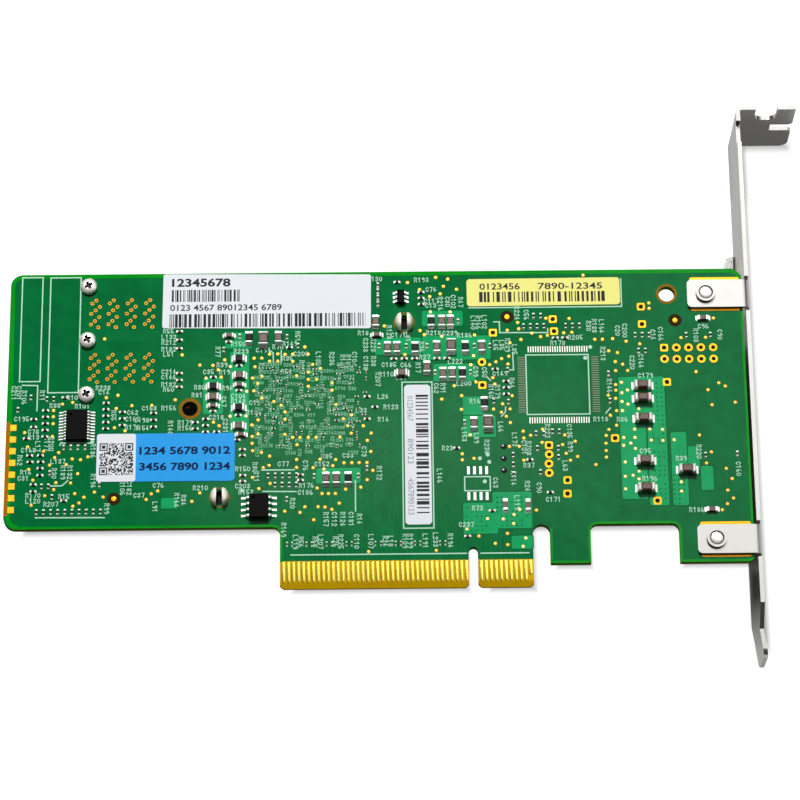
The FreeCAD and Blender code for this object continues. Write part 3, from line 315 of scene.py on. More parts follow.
UPWARD_MARKS = (
    (-88.2, 42.0), (-91.9, 41.6), (-94.0, 42.6), (-93.0, 42.6), (-92.4, 27.9), (-88.8, 30.9), (-87.0, 31.4),
    (-86.0, 31.4), (-85.3, 25.0), (-83.5, 25.2), (-82.1, 25.2), (-77.5, 29.8), (-77.3, 23.3), (-73.4, 37.5),
    (-61.7, 34.7), (-52.1, 51.3), (-50.8, 40.3), (-50.4, 35.0), (-71.3, 21.7), (-69.9, 21.7), (-60.2, 19.0),
    (-58.8, 19.0), (-64.6, 17.6), (-74.4, 17.3), (-44.3, 25.9), (-35.6, 54.6), (-43.1, 47.6), (-34.7, 47.7),
    (-31.3, 49.6), (-28.5, 49.5), (-26.3, 48.9), (-25.1, 48.9), (-23.8, 49.5), (-21.5, 52.5), (-19.9, 52.5),
    (-21.5, 48.5), (-19.9, 48.9), (-16.6, 55.3), (-12.7, 54.3), (-19.0, 44.9), (-44.0, 23.9), (-34.0, 26.2),
    (-22.0, 29.1), (-18.9, 24.4), (-36.6, 18.1), (-5.9, 61.6), (-4.4, 62.0), (-3.2, 62.0), (-1.7, 61.9),
    (10.0, 59.3), (11.9, 58.9), (0.9, 57.3), (1.9, 57.3), (3.2, 57.4), (24.8, 56.3), (26.0, 56.3),
    (27.5, 56.2), (30.8, 55.2), (32.3, 55.2), (38.1, 54.2), (39.7, 54.4), (5.4, 52.2), (6.7, 52.2),
    (7.9, 52.2), (9.3, 51.2), (27.6, 50.1), (33.6, 48.1), (35.4, 48.4), (-9.9, 52.0), (-10.7, 47.4),
    (1.2, 46.4), (3.0, 46.2), (-7.0, 42.8), (-5.6, 42.8), (8.6, 43.8), (4.3, 42.0), (5.6, 41.9), (28.7, 43.0),
    (6.1, 34.2), (-1.4, 32.6), (1.1, 31.8), (3.2, 29.9), (8.9, 31.4), (10.8, 29.7), (11.8, 29.5),
    (15.7, 33.2), (20.2, 33.1), (20.3, 29.7), (19.1, 25.6), (-6.6, 23.7), (4.8, 22.1), (8.5, 23.0),
    (11.3, 21.3), (13.7, 20.9), (9.1, 17.8), (46.6, 28.4), (54.5, 24.6), (47.0, 54.0), (52.0, 54.1),
    (-24.7, 14.6), (-26.4, 14.6), (-28.1, 14.6), (-29.8, 14.6), (-23.0, 14.6),
)
FINGER_MARKS = (
    (-38.4, 12.4), (-36.0, 9.8), (-34.9, 9.8), (-32.0, 9.8), (-30.9, 9.8), (-27.9, 9.8), (-26.8, 9.8),
    (-23.6, 9.8), (-20.7, 9.8), (-17.8, 9.8), (-16.7, 9.8), (-13.8, 9.8), (-12.7, 9.8), (-9.7, 9.8),
    (-7.6, 10.0), (-4.6, 9.8),
)

# Printed lines on the solder face.
SILK_LINES = (
    ((-92.4, 44.3), (-89.2, 44.2), (-89.2, 38.7)),
    ((-84.3, 31.1), (-84.1, 31.6), (-78.1, 31.5)),
    ((-88.9, 15.5), (-74.9, 15.4)),
    ((-42.9, 25.3), (-36.3, 25.3)),
    ((-42.6, 20.7), (-35.9, 20.6)),
    ((-23.8, 22.8), (-23.8, 16.3)),
    ((5.1, 57.4), (6.3, 57.4), (6.3, 55.0), (16.3, 54.9), (16.3, 55.8)),
    ((8.9, 50.5), (9.0, 46.7), (7.8, 46.7)),
    ((3.5, 45.2), (4.2, 44.4)),
    ((7.2, 38.5), (7.1, 37.4), (6.3, 36.5)),
    ((28.7, 38.1), (27.8, 37.0)),
    ((-41.6, 51.6), (-40.7, 51.0), (-40.6, 48.7)),
    ((-39.0, 51.5), (-39.0, 48.7)),
    ((-86.0, 22.3), (-83.7, 22.3), (-82.5, 23.4)),
    ((0.0, 60.6), (31.8, 60.6), (31.8, 66.8)),
    ((-36.9, 7.05), (-1.4, 7.05)),
    ((1.5, 7.05), (11.2, 7.05)),
)
SILK_FRAMES = (
    (-93.0, 45.1, -88.75, 68.3), (-87.1, 42.6, -80.8, 68.2), (-14.07, 12.5, -7.9, 44.2),
    (11.6, 36.84, 24.5, 49.95), (-1.5, 20.41, 3.71, 23.43),
)
SILK_DOTS = (
    (-77.7, 31.8), (25.0, 51.6), (23.9, 49.2), (2.6, 22.4), (3.3, 28.2), (1.7, 27.4), (3.6, 26.6),
    (-46.9, 20.9),
)

# Fields of the component face that are filled with small parts, vias and marks: sides, columns and rows.
COMPONENT_FIELDS = (
    (12.0, 18.0, 28.0, 60.0, 6, 15), (-62.0, 16.0, -58.0, 60.0, 2, 16), (-92.0, 16.0, -66.0, 37.0, 10, 8),
    (-4.0, 12.0, 8.0, 22.0, 5, 4), (-2.0, 50.0, 10.0, 66.0, 5, 6), (50.5, 18.0, 55.0, 46.0, 2, 11),
)


def solids(node):
    """Boxes of a node's separate solids, in millimetres, from left to right."""
    mesh = bmesh.new()
    mesh.from_mesh(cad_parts[node].data)
    bmesh.ops.remove_doubles(mesh, verts=mesh.verts, dist=1e-7)
    boxes = []
    left = set(mesh.verts)
    while left:
        front = [left.pop()]
        found = []
        while front:
            corner = front.pop()
            found.append(corner.co / MM)
            for edge in corner.link_edges:
                other = edge.other_vert(corner)
                if other in left:
                    left.remove(other)
                    front.append(other)
        low = Vector([min(p[axis] for p in found) for axis in range(3)])
        high = Vector([max(p[axis] for p in found) for axis in range(3)])
        boxes.append((low, high))
    mesh.free()
    boxes.sort(key=lambda b: (round(b[0].x, 2), round(b[0].y, 2), round(b[0].z, 2)))
    return boxes


def spots(node):
    """Middle and size of each of a node's separate solids, in millimetres."""
    return [((low + high) / 2, high - low) for low, high in solids(node)]


def linear(red, green, blue):
    """A colour given in screen values from 0 to 255, as the linear values that shaders take."""
    values = []
    for part in (red, green, blue):
        share = part / 255
        if share <= 0.04045:
            values.append(share / 12.92)
        else:
            values.append(((share + 0.055) / 1.055) ** 2.4)
    return tuple(values)


def colour_value(name, description, red, green, blue):
    """A colour that a user may change."""
    return bpy.props.FloatVectorProperty(
        name=name, description=description, subtype="COLOR", size=3, min=0.0, max=1.0,
        default=linear(red, green, blue),
    )


def length_value(name, description, millimetres):
    """A length that a user may change."""
    return bpy.props.FloatProperty(
        name=name, description=description, unit="LENGTH", min=0.0, precision=5, default=millimetres * MM,
    )


class CardColours(bpy.types.PropertyGroup):
    """Colours of the card's finishes."""

    mask: colour_value("Lacquer", "Solder mask over bare laminate", 3, 110, 56)
    pour: colour_value("Lacquer on copper", "Solder mask over a copper area", 20, 164, 96)
    trace: colour_value("Lacquer on tracks", "Solder mask over a copper track", 10, 118, 60)
    rim: colour_value("Board rim", "Copper-free band along the board's edge", 6, 150, 28)
    edge: colour_value("Board edge", "Cut edge of the laminate", 124, 152, 44)
    laminate: colour_value("Bare tongue", "Laminate between the edge contacts", 216, 172, 4)
    faint: colour_value("Faint print", "Small print between the controller's vias", 118, 192, 148)
    silk: colour_value("Silk print", "Printed lines and marks", 184, 230, 206)
    gold: colour_value("Gold plate", "Edge contacts and lands", 248, 216, 88)
    via: colour_value("Via plate", "Plated via caps", 238, 188, 66)
    pin: colour_value("Pin plate", "Rings round the connector's pins", 150, 106, 8)
    ring: colour_value("Hole ring", "Plated rings round the screw holes", 122, 84, 2)
    tin: colour_value("Tin", "Solder, terminals and leads", 242, 242, 238)
    dull: colour_value("Dull tin", "Ends of the smallest parts and bare pads", 236, 240, 226)
    # This colour also fills the connector's pin holes as painted shade.
    burnt: colour_value("Bare laminate", "Clear rings round the aiming marks", 46, 34, 0)
    pad: colour_value("Pad plate", "Plated pads with a hole", 230, 156, 14)
    steel: colour_value("Bracket steel", "Plated sheet of the bracket", 168, 167, 163)
    nickel: colour_value("Screw nickel", "Plated screws and lids", 236, 230, 222)
    brass: colour_value("Brass", "Push pins of the heatsink", 226, 176, 84)
    strip: colour_value("Strip plate", "Plated strip beside the test pads", 148, 90, 0)
    shade: colour_value("Unlit tin", "Tinned side pads of the open chip place", 118, 122, 102)
    recess: colour_value("Screw recess", "Shaded recesses in the screw heads", 50, 36, 32)
    pale: colour_value("Pale via plate", "Plated via caps on copper areas", 255, 246, 160)
    chip_brown: colour_value("Small part ceramic", "Bodies of the smallest capacitors", 74, 58, 42)
    gap: colour_value("Lacquer in gaps", "Solder mask over the gap round a copper area", 2, 98, 50)
    grey_ink: colour_value("Grey label ink", "Numbers on the narrow label", 146, 146, 160)
    # The next colour is a painted highlight: pale split ends that stand for the bright reflection on the
    # brass push pins.
    barb: colour_value("Pin barbs", "Bright split ends of the push pins", 252, 244, 228)
    # This colour also serves the painted shade in holes and slots.
    epoxy: colour_value("Chip epoxy", "Moulded chip bodies", 11, 11, 13)
    mould: colour_value("Connector plastic", "Drive connector and its insulators", 24, 24, 26)
    ceramic: colour_value("Capacitor ceramic", "Bodies of the capacitors", 90, 66, 50)
    ferrite: colour_value("Ferrite", "Beads and inductors", 15, 15, 16)
    anodised: colour_value("Anodised metal", "Heatsink", 30, 31, 34)
    white_paper: colour_value("White label", "Paper of the white labels", 231, 235, 240)
    yellow_paper: colour_value("Yellow label", "Paper of the yellow label", 244, 240, 126)
    blue_paper: colour_value("Blue label", "Film of the blue label", 24, 160, 240)
    ink: colour_value("Label ink", "Bars and numbers on the labels", 52, 52, 56)
    navy: colour_value("Blue label ink", "Numbers on the blue label", 14, 32, 78)
    floor: colour_value("Floor", "Table under the card", 128, 128, 128)


class CardSizes(bpy.types.PropertyGroup):
    """Sizes of the card's fine pieces."""

    via_width: length_value("Via width", "Width of a plated via cap", 0.74)
    silk_line: length_value("Silk line", "Width of the printed lines", 0.26)
    mark_line: length_value("Mark line", "Width of the strokes of a reference mark", 0.15)
    mark_height: length_value("Mark height", "Height of a reference mark", 0.95)
    track: length_value("Track width", "Width of the copper tracks", 0.24)
    rim: length_value("Rim width", "Width of the copper-free band", 0.9)
    small_length: length_value("Small part", "Length of the smallest chip parts", 1.0)
    small_width: length_value("Small part width", "Width of the smallest chip parts", 0.5)


class Pile:
    """Closed shapes over one face of the board, in millimetres, gathered into one mesh."""

    def __init__(self, under=False):
        self.under = under
        self.points = []
        self.faces = []
        self.finishes = []
        self.marks = []

    def mark(self, finish):
        """Number of a finish in the mesh, which takes it in when it is new."""
        if finish not in self.finishes:
            self.finishes.append(finish)
        return self.finishes.index(finish)

    def add(self, points, faces, finish):
        """Adds points, as x, y and rise from the face, and the faces over them."""
        start = len(self.points)
        level = BOARD_LOW.z if self.under else BOARD_HIGH.z
        way = -1 if self.under else 1
        for x, y, rise in points:
            self.points.append((x * MM, y * MM, (level + way * rise) * MM))
        mark = self.mark(finish)
        for face in faces:
            corners = [start + corner for corner in face]
            if self.under:
                corners.reverse()
            self.faces.append(corners)
            self.marks.append(mark)

    def loft(self, rings, finish, closed=False, second=None, where=None):
        """A skin over rings of points, capped at both ends unless the rings close on themselves.

        Faces picked by their step and corner take the second finish. The caps count as corner zero of a
        step before the first and of a step after the last.
        """
        count = len(rings[0])
        points = [point for ring in rings for point in ring]
        faces = []
        picked = []
        for step in range(len(rings) if closed else len(rings) - 1):
            here = step * count
            there = (step + 1) % len(rings) * count
            for corner in range(count):
                after = (corner + 1) % count
                picked.append(second and where(step, corner))
                faces.append((here + corner, here + after, there + after, there + corner))
        if not closed:
            picked.append(second and where(-1, 0))
            faces.append(tuple(range(count - 1, -1, -1)))
            picked.append(second and where(len(rings) - 1, 0))
            faces.append(tuple(range(len(points) - count, len(points))))
        first = len(self.faces)
        self.add(points, faces, finish)
        for index, chosen in enumerate(picked):
            if chosen:
                self.marks[first + index] = self.mark(second)

    def layers(self, outlines, finish):
        """A solid through outlines at rising heights, each as (points, rise)."""
        self.loft([[(x, y, rise) for x, y in outline] for outline, rise in outlines], finish)

    def block(self, x, y, long, wide, low, high, finish, turn=0.0, cut=0.0, corner=0.0):
        """A block about a centre, with its top edges cut and its corners rounded where asked."""
        outline = plan(x, y, long, wide, turn, corner)
        top = plan(x, y, long - 2 * cut, wide - 2 * cut, turn, max(corner - cut, 0.0))
        levels = [(outline, low), (outline, high - cut)]
        if cut:
            levels.append((top, high))
        self.layers(levels, finish)

    def over(self, middle, size, low, high, finish, **edges):
        """A block over the plan of a solid, given by its middle and size."""
        self.block(middle.x, middle.y, size.x, size.y, low, high, finish, **edges)

    def waisted(self, middle, size, levels, finish):
        """A moulded body over the plan of a solid, drawn in by an amount at each of its levels."""
        outlines = []
        for drawn, rise in levels:
            outlines.append((plan(middle.x, middle.y, size.x - drawn, size.y - drawn), rise))
        self.layers(outlines, finish)

    def turned(self, x, y, profile, finish, count):
        """A turned solid from its profile, as (radius, rise) from the bottom up."""
        self.layers([(circle(x, y, radius, count), rise) for radius, rise in profile], finish)

    def disc(self, x, y, radius, low, high, finish, count):
        """A flat disc."""
        self.turned(x, y, ((radius, low), (radius, high)), finish, count)

    def driven(self, x, y, profile, turn, finish, under=False):
        """A turned screw with a cross recess in its top, or in its foot."""
        count = 48
        radius, level = profile[0] if under else profile[-1]
        arm = radius * 0.9
        half = arm * 0.36
        deep = 0.6 if under else -0.6
        rings = [[(*spot, rise) for spot in circle(x, y, reach, count)] for reach, rise in profile]
        cross = []
        for size, rise in ((1.0, level), (0.7, level + deep)):
            ring = []
            for step in range(count):
                angle = 2 * math.pi * step / count
                lean = (angle - math.radians(turn) + math.pi / 4) % (math.pi / 2) - math.pi / 4
                reach = min(arm / math.cos(lean), half / max(abs(math.sin(lean)), 0.001)) * size
                ring.append((*polar(x, y, reach, angle), rise))
            cross.append(ring)
        # The faces of the cross recess take a dark finish: painted shade.
        if under:
            rings = [cross[1], cross[0]] + rings
            self.loft(rings, finish, second="recess_dark", where=lambda step, corner: step < 1)
        else:
            last = len(rings)
            self.loft(rings + cross, finish, second="recess_dark", where=lambda step, corner: step >= last)

    def tube(self, x, y, inner, outer, low, high, finish, count):
        """A flat ring."""
        section = ((inner, low), (inner, high), (outer, high), (outer, low))
        rings = []
        for step in range(count):
            angle = 2 * math.pi * step / count
            rings.append([(*polar(x, y, radius, angle), rise) for radius, rise in section])
        self.loft(rings, finish, closed=True)

    def stroke(self, path, width, low, high, finish, closed=False):
        """A line of one width through the points of a path, with mitred corners."""
        rings = []
        count = len(path)
        for step in range(count):
            here = Vector(path[step])
            along = []
            if step or closed:
                along.append((here - Vector(path[step - 1])).normalized())
            if step < count - 1 or closed:
                along.append((Vector(path[(step + 1) % count]) - here).normalized())
            mean = sum(along, Vector((0.0, 0.0))).normalized()
            reach = width / 2 / max(mean.dot(along[0]), 0.35)
            side = Vector((-mean.y, mean.x)) * reach
            if not closed and step == 0:
                here = here - along[0] * width / 2
            if not closed and step == count - 1:
                here = here + along[-1] * width / 2
            left = here + side
            right = here - side
            rings.append([(*left, low), (*left, high), (*right, high), (*right, low)])
        self.loft(rings, finish, closed)

    def word(self, text, x, y, tall, line, finish, turn):
        """A short row of stroke letters about a centre, readable from the side it is printed on."""
        wide = tall * 0.52
        gap = tall * 0.84
        spin = Matrix.Rotation(math.radians(turn), 2)
        start = -(len(text) - 1) * gap / 2 - wide / 2
        for place, letter in enumerate(text):
            for strokes in GLYPHS[letter]:
                path = []
                for mark in strokes:
                    spot = ord(mark) - ord("a")
                    across = start + place * gap + spot % 3 / 2 * wide
                    up = (4 - spot // 3) / 4 * tall - tall / 2
                    if self.under:
                        across = -across
                    point = spin @ Vector((across, up))
                    path.append((x + point.x, y + point.y))
                self.stroke(path, line, 0.0, MARK_RISE, finish)

    def number(self, text, x, y, long, tall, low, finish, turn=0.0, bold=0.0):
        """Printed figures of a smooth letter form, fitted into a length and a height about a centre."""
        curve = bpy.data.curves.new("figures", "FONT")
        curve.body = text
        curve.extrude = 0.01
        curve.offset = bold
        curve.resolution_u = 3
        holder = bpy.data.objects.new("figures", curve)
        bpy.context.scene.collection.objects.link(holder)
        bpy.context.view_layer.update()
        mesh = bpy.data.meshes.new_from_object(holder)
        found = [corner.co.copy() for corner in mesh.vertices]
        left = min(p.x for p in found)
        right = max(p.x for p in found)
        foot = min(p.y for p in found)
        head = max(p.y for p in found)
        spin = Matrix.Rotation(math.radians(turn), 2)
        points = []
        for p in found:
            flat = Vector(((p.x - left) / (right - left) - 0.5, (p.y - foot) / (head - foot) - 0.5))
            flat = spin @ Vector((flat.x * long, flat.y * tall))
            points.append((x + flat.x, y + flat.y, low + (INK_RISE if p.z > 0 else 0.0)))
        self.add(points, [tuple(face.vertices) for face in mesh.polygons], finish)
        bpy.data.objects.remove(holder)
        bpy.data.curves.remove(curve)
        bpy.data.meshes.remove(mesh)

    def lay(self, name, slot, *nodes):
        """Makes the piece. It rides on the card and stands for the nodes named."""
        mesh = bpy.data.meshes.new(name)
        mesh.from_pydata(self.points, [], self.faces)
        mesh.polygons.foreach_set("material_index", self.marks)
        for finish in self.finishes:
            mesh.materials.append(bpy.data.materials[finish])
        mesh.update()
        mesh.shade_smooth()
        mesh.set_sharp_from_angle(angle=math.radians(30))
        piece = bpy.data.objects.new(name, mesh)
        bpy.context.scene.collection.objects.link(piece)
        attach(piece, "root")
        if nodes:
            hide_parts(*nodes)


def polar(x, y, radius, angle):
    """The point at a radius and an angle from a centre."""
    return x + radius * math.cos(angle), y + radius * math.sin(angle)


def circle(x, y, radius, count):
    """Points round a circle, counter-clockwise."""
    return [polar(x, y, radius, 2 * math.pi * step / count) for step in range(count)]


def bend(x, y, radius, start, end):
    """Points along an arc, from one angle in degrees to another."""
    steps = 6
    turns = [math.radians(start + (end - start) * step / steps) for step in range(steps + 1)]
    return [polar(x, y, radius, angle) for angle in turns]


def rectangle(left, bottom, right, top):
    """Corners of a rectangle, counter-clockwise."""
    return [(left, bottom), (right, bottom), (right, top), (left, top)]


def plan(x, y, long, wide, turn=0.0, corner=0.0):
    """Outline of a rectangle about a centre, with rounded corners where a radius is given."""
    spin = Matrix.Rotation(math.radians(turn), 2)
    points = []
    for quarter, (right, up) in enumerate(((1, 1), (-1, 1), (-1, -1), (1, -1))):
        middle = Vector((right * (long / 2 - corner), up * (wide / 2 - corner)))
        for step in range(4 if corner else 1):
            angle = math.pi / 2 * (quarter + step / 3)
            reach = Vector((math.cos(angle), math.sin(angle))) * corner
            point = spin @ (middle + reach)
            points.append((x + point.x, y + point.y))
    return points


def route(start, end):
    """A track between two places with one diagonal run."""
    run_x = end[0] - start[0]
    run_y = end[1] - start[1]
    diagonal = min(abs(run_x), abs(run_y))
    knee = (start[0] + math.copysign(diagonal, run_x), start[1] + math.copysign(diagonal, run_y))
    path = [start]
    for point in (knee, end):
        if math.dist(path[-1], point) > 0.2:
            path.append(point)
    return path


def shader_node(tree, kind, inputs, **settings):
    """A shader node with its settings made and its inputs set or linked. Gives its outputs."""
    node = tree.nodes.new("ShaderNode" + kind)
    for name, value in settings.items():
        setattr(node, name, value)
    for name, value in inputs.items():
        if isinstance(value, bpy.types.NodeSocket):
            tree.links.new(value, node.inputs[name])
        else:
            node.inputs[name].default_value = value
    return node.outputs


def reckoned(tree, operation, *values):
    """The result of one step of arithmetic on sockets and numbers."""
    return shader_node(tree, "Math", dict(enumerate(values)), operation=operation)["Value"]


def ranged(tree, value, near, far, low=0.0, high=1.0):
    """A value between two limits, taken to a range of its own."""
    limits = {"Value": value, "From Min": near, "From Max": far, "To Min": low, "To Max": high}
    return shader_node(tree, "MapRange", limits)["Result"]


def mixed(tree, share, first, second):
    """A colour between two others."""
    return shader_node(tree, "Mix", {"Factor": share, "A": first, "B": second}, data_type="RGBA")["Result"]


def scaled(colour, share):
    """A colour made darker or lighter, with its alpha."""
    return tuple(min(part * share, 1.0) for part in colour) + (1.0,)


def fine_grain():
    """Builds the shared grain: a colour, a roughness and a height that change over the surface."""
    group = bpy.data.node_groups.new("fine_grain", "ShaderNodeTree")
    for name, way, kind, default in (
        ("Dark", "INPUT", "Color", None), ("Light", "INPUT", "Color", None),
        ("Grain", "INPUT", "Float", 1000.0), ("Stretch", "INPUT", "Vector", (1.0, 1.0, 1.0)),
        ("Smooth", "INPUT", "Float", 0.3),
        ("Rough", "INPUT", "Float", 0.5), ("Colour", "OUTPUT", "Color", None),
        ("Roughness", "OUTPUT", "Float", None), ("Height", "OUTPUT", "Float", None),
    ):
        socket = group.interface.new_socket(name=name, in_out=way, socket_type="NodeSocket" + kind)
        if default is not None:
            socket.default_value = default
    given = group.nodes.new("NodeGroupInput").outputs
    result = group.nodes.new("NodeGroupOutput").inputs
    place = shader_node(group, "TexCoord", {})["Object"]
    drawn = shader_node(group, "Mapping", {"Vector": place, "Scale": given["Stretch"]})["Vector"]
    fine = shader_node(group, "TexNoise", {"Vector": drawn, "Scale": given["Grain"], "Detail": 4.0})["Fac"]
    broad = shader_node(group, "TexNoise", {"Vector": place, "Scale": 90.0, "Detail": 2.0})["Fac"]
    blend = reckoned(group, "MULTIPLY_ADD", fine, 0.6, reckoned(group, "MULTIPLY", broad, 0.4))
    spread = ranged(group, blend, 0.32, 0.68)
    group.links.new(mixed(group, spread, given["Dark"], given["Light"]), result["Colour"])
    polish = ranged(group, spread, 0.0, 1.0, given["Smooth"], given["Rough"])
    group.links.new(polish, result["Roughness"])
    group.links.new(fine, result["Height"])


# Finish, colour, tone spread, grains in a millimetre, roughness from and to, metal, bump, gloss.
FINISHES = (
    ("lacquer_pour", "pour", 0.10, 0.5, 0.10, 0.15, 0.0, 0.004, 0.08),
    ("lacquer_track", "trace", 0.10, 0.5, 0.10, 0.15, 0.0, 0.004, 0.08),
    ("lacquer_rim", "rim", 0.16, 0.3, 0.10, 0.15, 0.0, 0.004, 0.08),
    ("lacquer_dot", "trace", 0.10, 0.6, 0.10, 0.15, 0.0, 0.004, 0.08),
    ("lacquer_gap", "gap", 0.10, 0.6, 0.10, 0.15, 0.0, 0.004, 0.08),
    ("silk_ink", "silk", 0.06, 5.0, 0.55, 0.75, 0.0, 0.006, 0.30),
    ("silk_faint", "faint", 0.08, 5.0, 0.55, 0.75, 0.0, 0.006, 0.30),
    ("gold_plate", "gold", 0.06, 2.5, 0.21, 0.25, 0.85, 0.0, 0.50),
    ("gold_via", "via", 0.12, 3.0, 0.30, 0.44, 0.45, 0.006, 0.50),
    ("gold_pale", "pale", 0.08, 3.0, 0.30, 0.44, 0.35, 0.006, 0.50),
    ("gold_pin", "pin", 0.14, 3.0, 0.30, 0.48, 0.70, 0.006, 0.50),
    ("gold_ring", "ring", 0.16, 1.5, 0.32, 0.50, 0.15, 0.008, 0.05),
    ("tin_shade", "shade", 0.10, 4.0, 0.36, 0.54, 0.20, 0.006, 0.30),
    ("tin_dull", "dull", 0.06, 4.0, 0.36, 0.54, 0.15, 0.006, 0.50),
    ("gold_pad", "pad", 0.10, 2.5, 0.26, 0.42, 0.70, 0.006, 0.50),
    ("gold_strip", "strip", 0.12, 2.0, 0.34, 0.50, 0.20, 0.006, 0.05),
    # The next finish is the bare laminate round the aiming marks, and painted shade in the connector's pin
    # holes.
    ("laminate_bare", "burnt", 0.20, 2.0, 0.50, 0.66, 0.0, 0.010, 0.05),
    ("tin_bright", "tin", 0.06, 4.0, 0.26, 0.42, 0.30, 0.006, 0.50),
    ("steel_sheet", "steel", 0.02, 0.9, 0.21, 0.26, 0.90, 0.0, 0.50),
    ("screw_nickel", "nickel", 0.05, 2.0, 0.26, 0.38, 0.40, 0.003, 0.50),
    # The next finish is painted shade for the screws' cross recesses.
    ("recess_dark", "recess", 0.30, 3.0, 0.40, 0.60, 0.0, 0.010, 0.20),
    ("spring_wire", "nickel", 0.10, 4.0, 0.25, 0.42, 1.0, 0.006, 0.50),
    ("brass_pin", "brass", 0.10, 2.0, 0.18, 0.34, 1.0, 0.006, 0.50),
    # The next finish is a painted highlight on the push pins' split ends.
    ("barb_bright", "barb", 0.05, 2.0, 0.26, 0.36, 0.12, 0.003, 0.50),
    ("lid_nickel", "nickel", 0.06, 1.2, 0.28, 0.42, 0.95, 0.004, 0.50),
    ("chip_epoxy", "epoxy", 0.22, 7.0, 0.40, 0.56, 0.0, 0.014, 0.03),
    ("mould_black", "mould", 0.20, 5.0, 0.42, 0.60, 0.0, 0.014, 0.45),
    ("ceramic_brown", "ceramic", 0.10, 5.0, 0.36, 0.52, 0.0, 0.008, 0.45),
    ("ceramic_small", "chip_brown", 0.10, 5.0, 0.36, 0.52, 0.0, 0.006, 0.30),
    ("resistor_black", "epoxy", 0.20, 5.0, 0.30, 0.46, 0.0, 0.006, 0.15),
    ("ferrite_dark", "ferrite", 0.16, 5.0, 0.42, 0.60, 0.0, 0.016, 0.15),
    ("anodised_black", "anodised", 0.16, 3.0, 0.36, 0.52, 0.55, 0.010, 0.50),
    ("pad_grey", "tin", 0.10, 3.0, 0.70, 0.85, 0.0, 0.012, 0.30),
    ("lamp_clear", "white_paper", 0.05, 3.0, 0.18, 0.28, 0.0, 0.004, 0.50),
    ("paper_white", "white_paper", 0.02, 2.2, 0.44, 0.58, 0.0, 0.008, 0.30),
    ("paper_yellow", "yellow_paper", 0.025, 2.2, 0.46, 0.60, 0.0, 0.008, 0.30),
    ("film_blue", "blue_paper", 0.03, 1.4, 0.26, 0.38, 0.0, 0.006, 0.12),
    ("ink_black", "ink", 0.14, 7.0, 0.50, 0.66, 0.0, 0.004, 0.06),
    ("ink_grey", "grey_ink", 0.10, 7.0, 0.50, 0.66, 0.0, 0.004, 0.25),
    ("ink_navy", "navy", 0.12, 7.0, 0.40, 0.55, 0.0, 0.004, 0.04),
    # The next finish is painted shade: dark discs, a barrel and faces that stand for the shade in holes and
    # slots.
    ("hole_dark", "epoxy", 0.30, 3.0, 0.60, 0.80, 0.0, 0.010, 0.15),
)

# Scale of the grain along X, Y and Z where it is drawn out.
STRETCHES = {
    "gold_plate": (1, 0.3, 1), "steel_sheet": (0.3, 0.3, 4), "anodised_black": (0.2, 3, 3),
    "brass_pin": (1, 1, 0.3), "barb_bright": (1, 1, 0.3),
}

# Faces of the board whose normal rises less than this are its cut edges.
CUT_FACE = 0.3


def grained(name, colour, spread, grain, smooth, rough, metal, bump, gloss):
    """A finish of one colour with the shared grain in its tone, roughness and surface."""
    material = bpy.data.materials.new(name)
    material.use_nodes = True
    tree = material.node_tree
    shader = tree.nodes["Principled BSDF"].inputs
    shader["Metallic"].default_value = metal
    shader["Specular IOR Level"].default_value = gloss
    grains = shader_node(tree, "Group", {
        "Dark": scaled(colour, 1 - spread), "Light": scaled(colour, 1 + spread), "Grain": grain / MM,
        "Stretch": STRETCHES.get(name, (1, 1, 1)), "Smooth": smooth, "Rough": rough,
    }, node_tree=bpy.data.node_groups["fine_grain"])
    relief = shader_node(tree, "Bump", {"Strength": 0.5, "Distance": bump * MM, "Height": grains["Height"]})
    tree.links.new(grains["Colour"], shader["Base Color"])
    tree.links.new(grains["Roughness"], shader["Roughness"])
    tree.links.new(relief["Normal"], shader["Normal"])
    return material


def board_finish(colours):
    """Lacquer over the laminate, bare on the contact tongue, with the glass weave showing through."""
    tree = grained("lacquer_board", colours.mask, 0.26, 0.35, 0.10, 0.15, 0.0, 0.004, 0.0).node_tree
    shader = tree.nodes["Principled BSDF"].inputs
    lacquer = shader["Base Color"].links[0].from_socket
    place = shader_node(tree, "TexCoord", {})["Object"]
    spot = shader_node(tree, "SeparateXYZ", {"Vector": place})
    bare = reckoned(tree, "LESS_THAN", spot["Y"], BARE_TOP * MM)
    for test, edge in (("GREATER_THAN", TONGUE_LEFT - 0.1), ("LESS_THAN", TONGUE_RIGHT + 0.1)):
        bare = reckoned(tree, "MULTIPLY", bare, reckoned(tree, test, spot["X"], edge * MM))
    normal = shader_node(tree, "NewGeometry", {})["True Normal"]
    level = reckoned(tree, "ABSOLUTE", shader_node(tree, "SeparateXYZ", {"Vector": normal})["Z"])
    weave = shader_node(tree, "TexWave", {"Vector": place, "Scale": 420.0, "Distortion": 1.5})["Fac"]
    cloth = mixed(tree, weave, scaled(colours.mask, 0.94), scaled(colours.mask, 1.06))
    cloud = shader_node(tree, "TexNoise", {"Vector": place, "Scale": 260.0})["Fac"]
    tongue = mixed(tree, cloud, scaled(colours.laminate, 0.88), scaled(colours.laminate, 1.12))
    cut = reckoned(tree, "LESS_THAN", level, CUT_FACE)
    edged = mixed(tree, cut, mixed(tree, 0.35, lacquer, cloth), scaled(colours.edge, 1.0))
    tree.links.new(mixed(tree, bare, edged, tongue), shader["Base Color"])
    sheen = reckoned(tree, "MULTIPLY", reckoned(tree, "GREATER_THAN", level, CUT_FACE), 0.16)
    tree.links.new(sheen, shader["Coat Weight"])
    shader["Coat Roughness"].default_value = 0.13


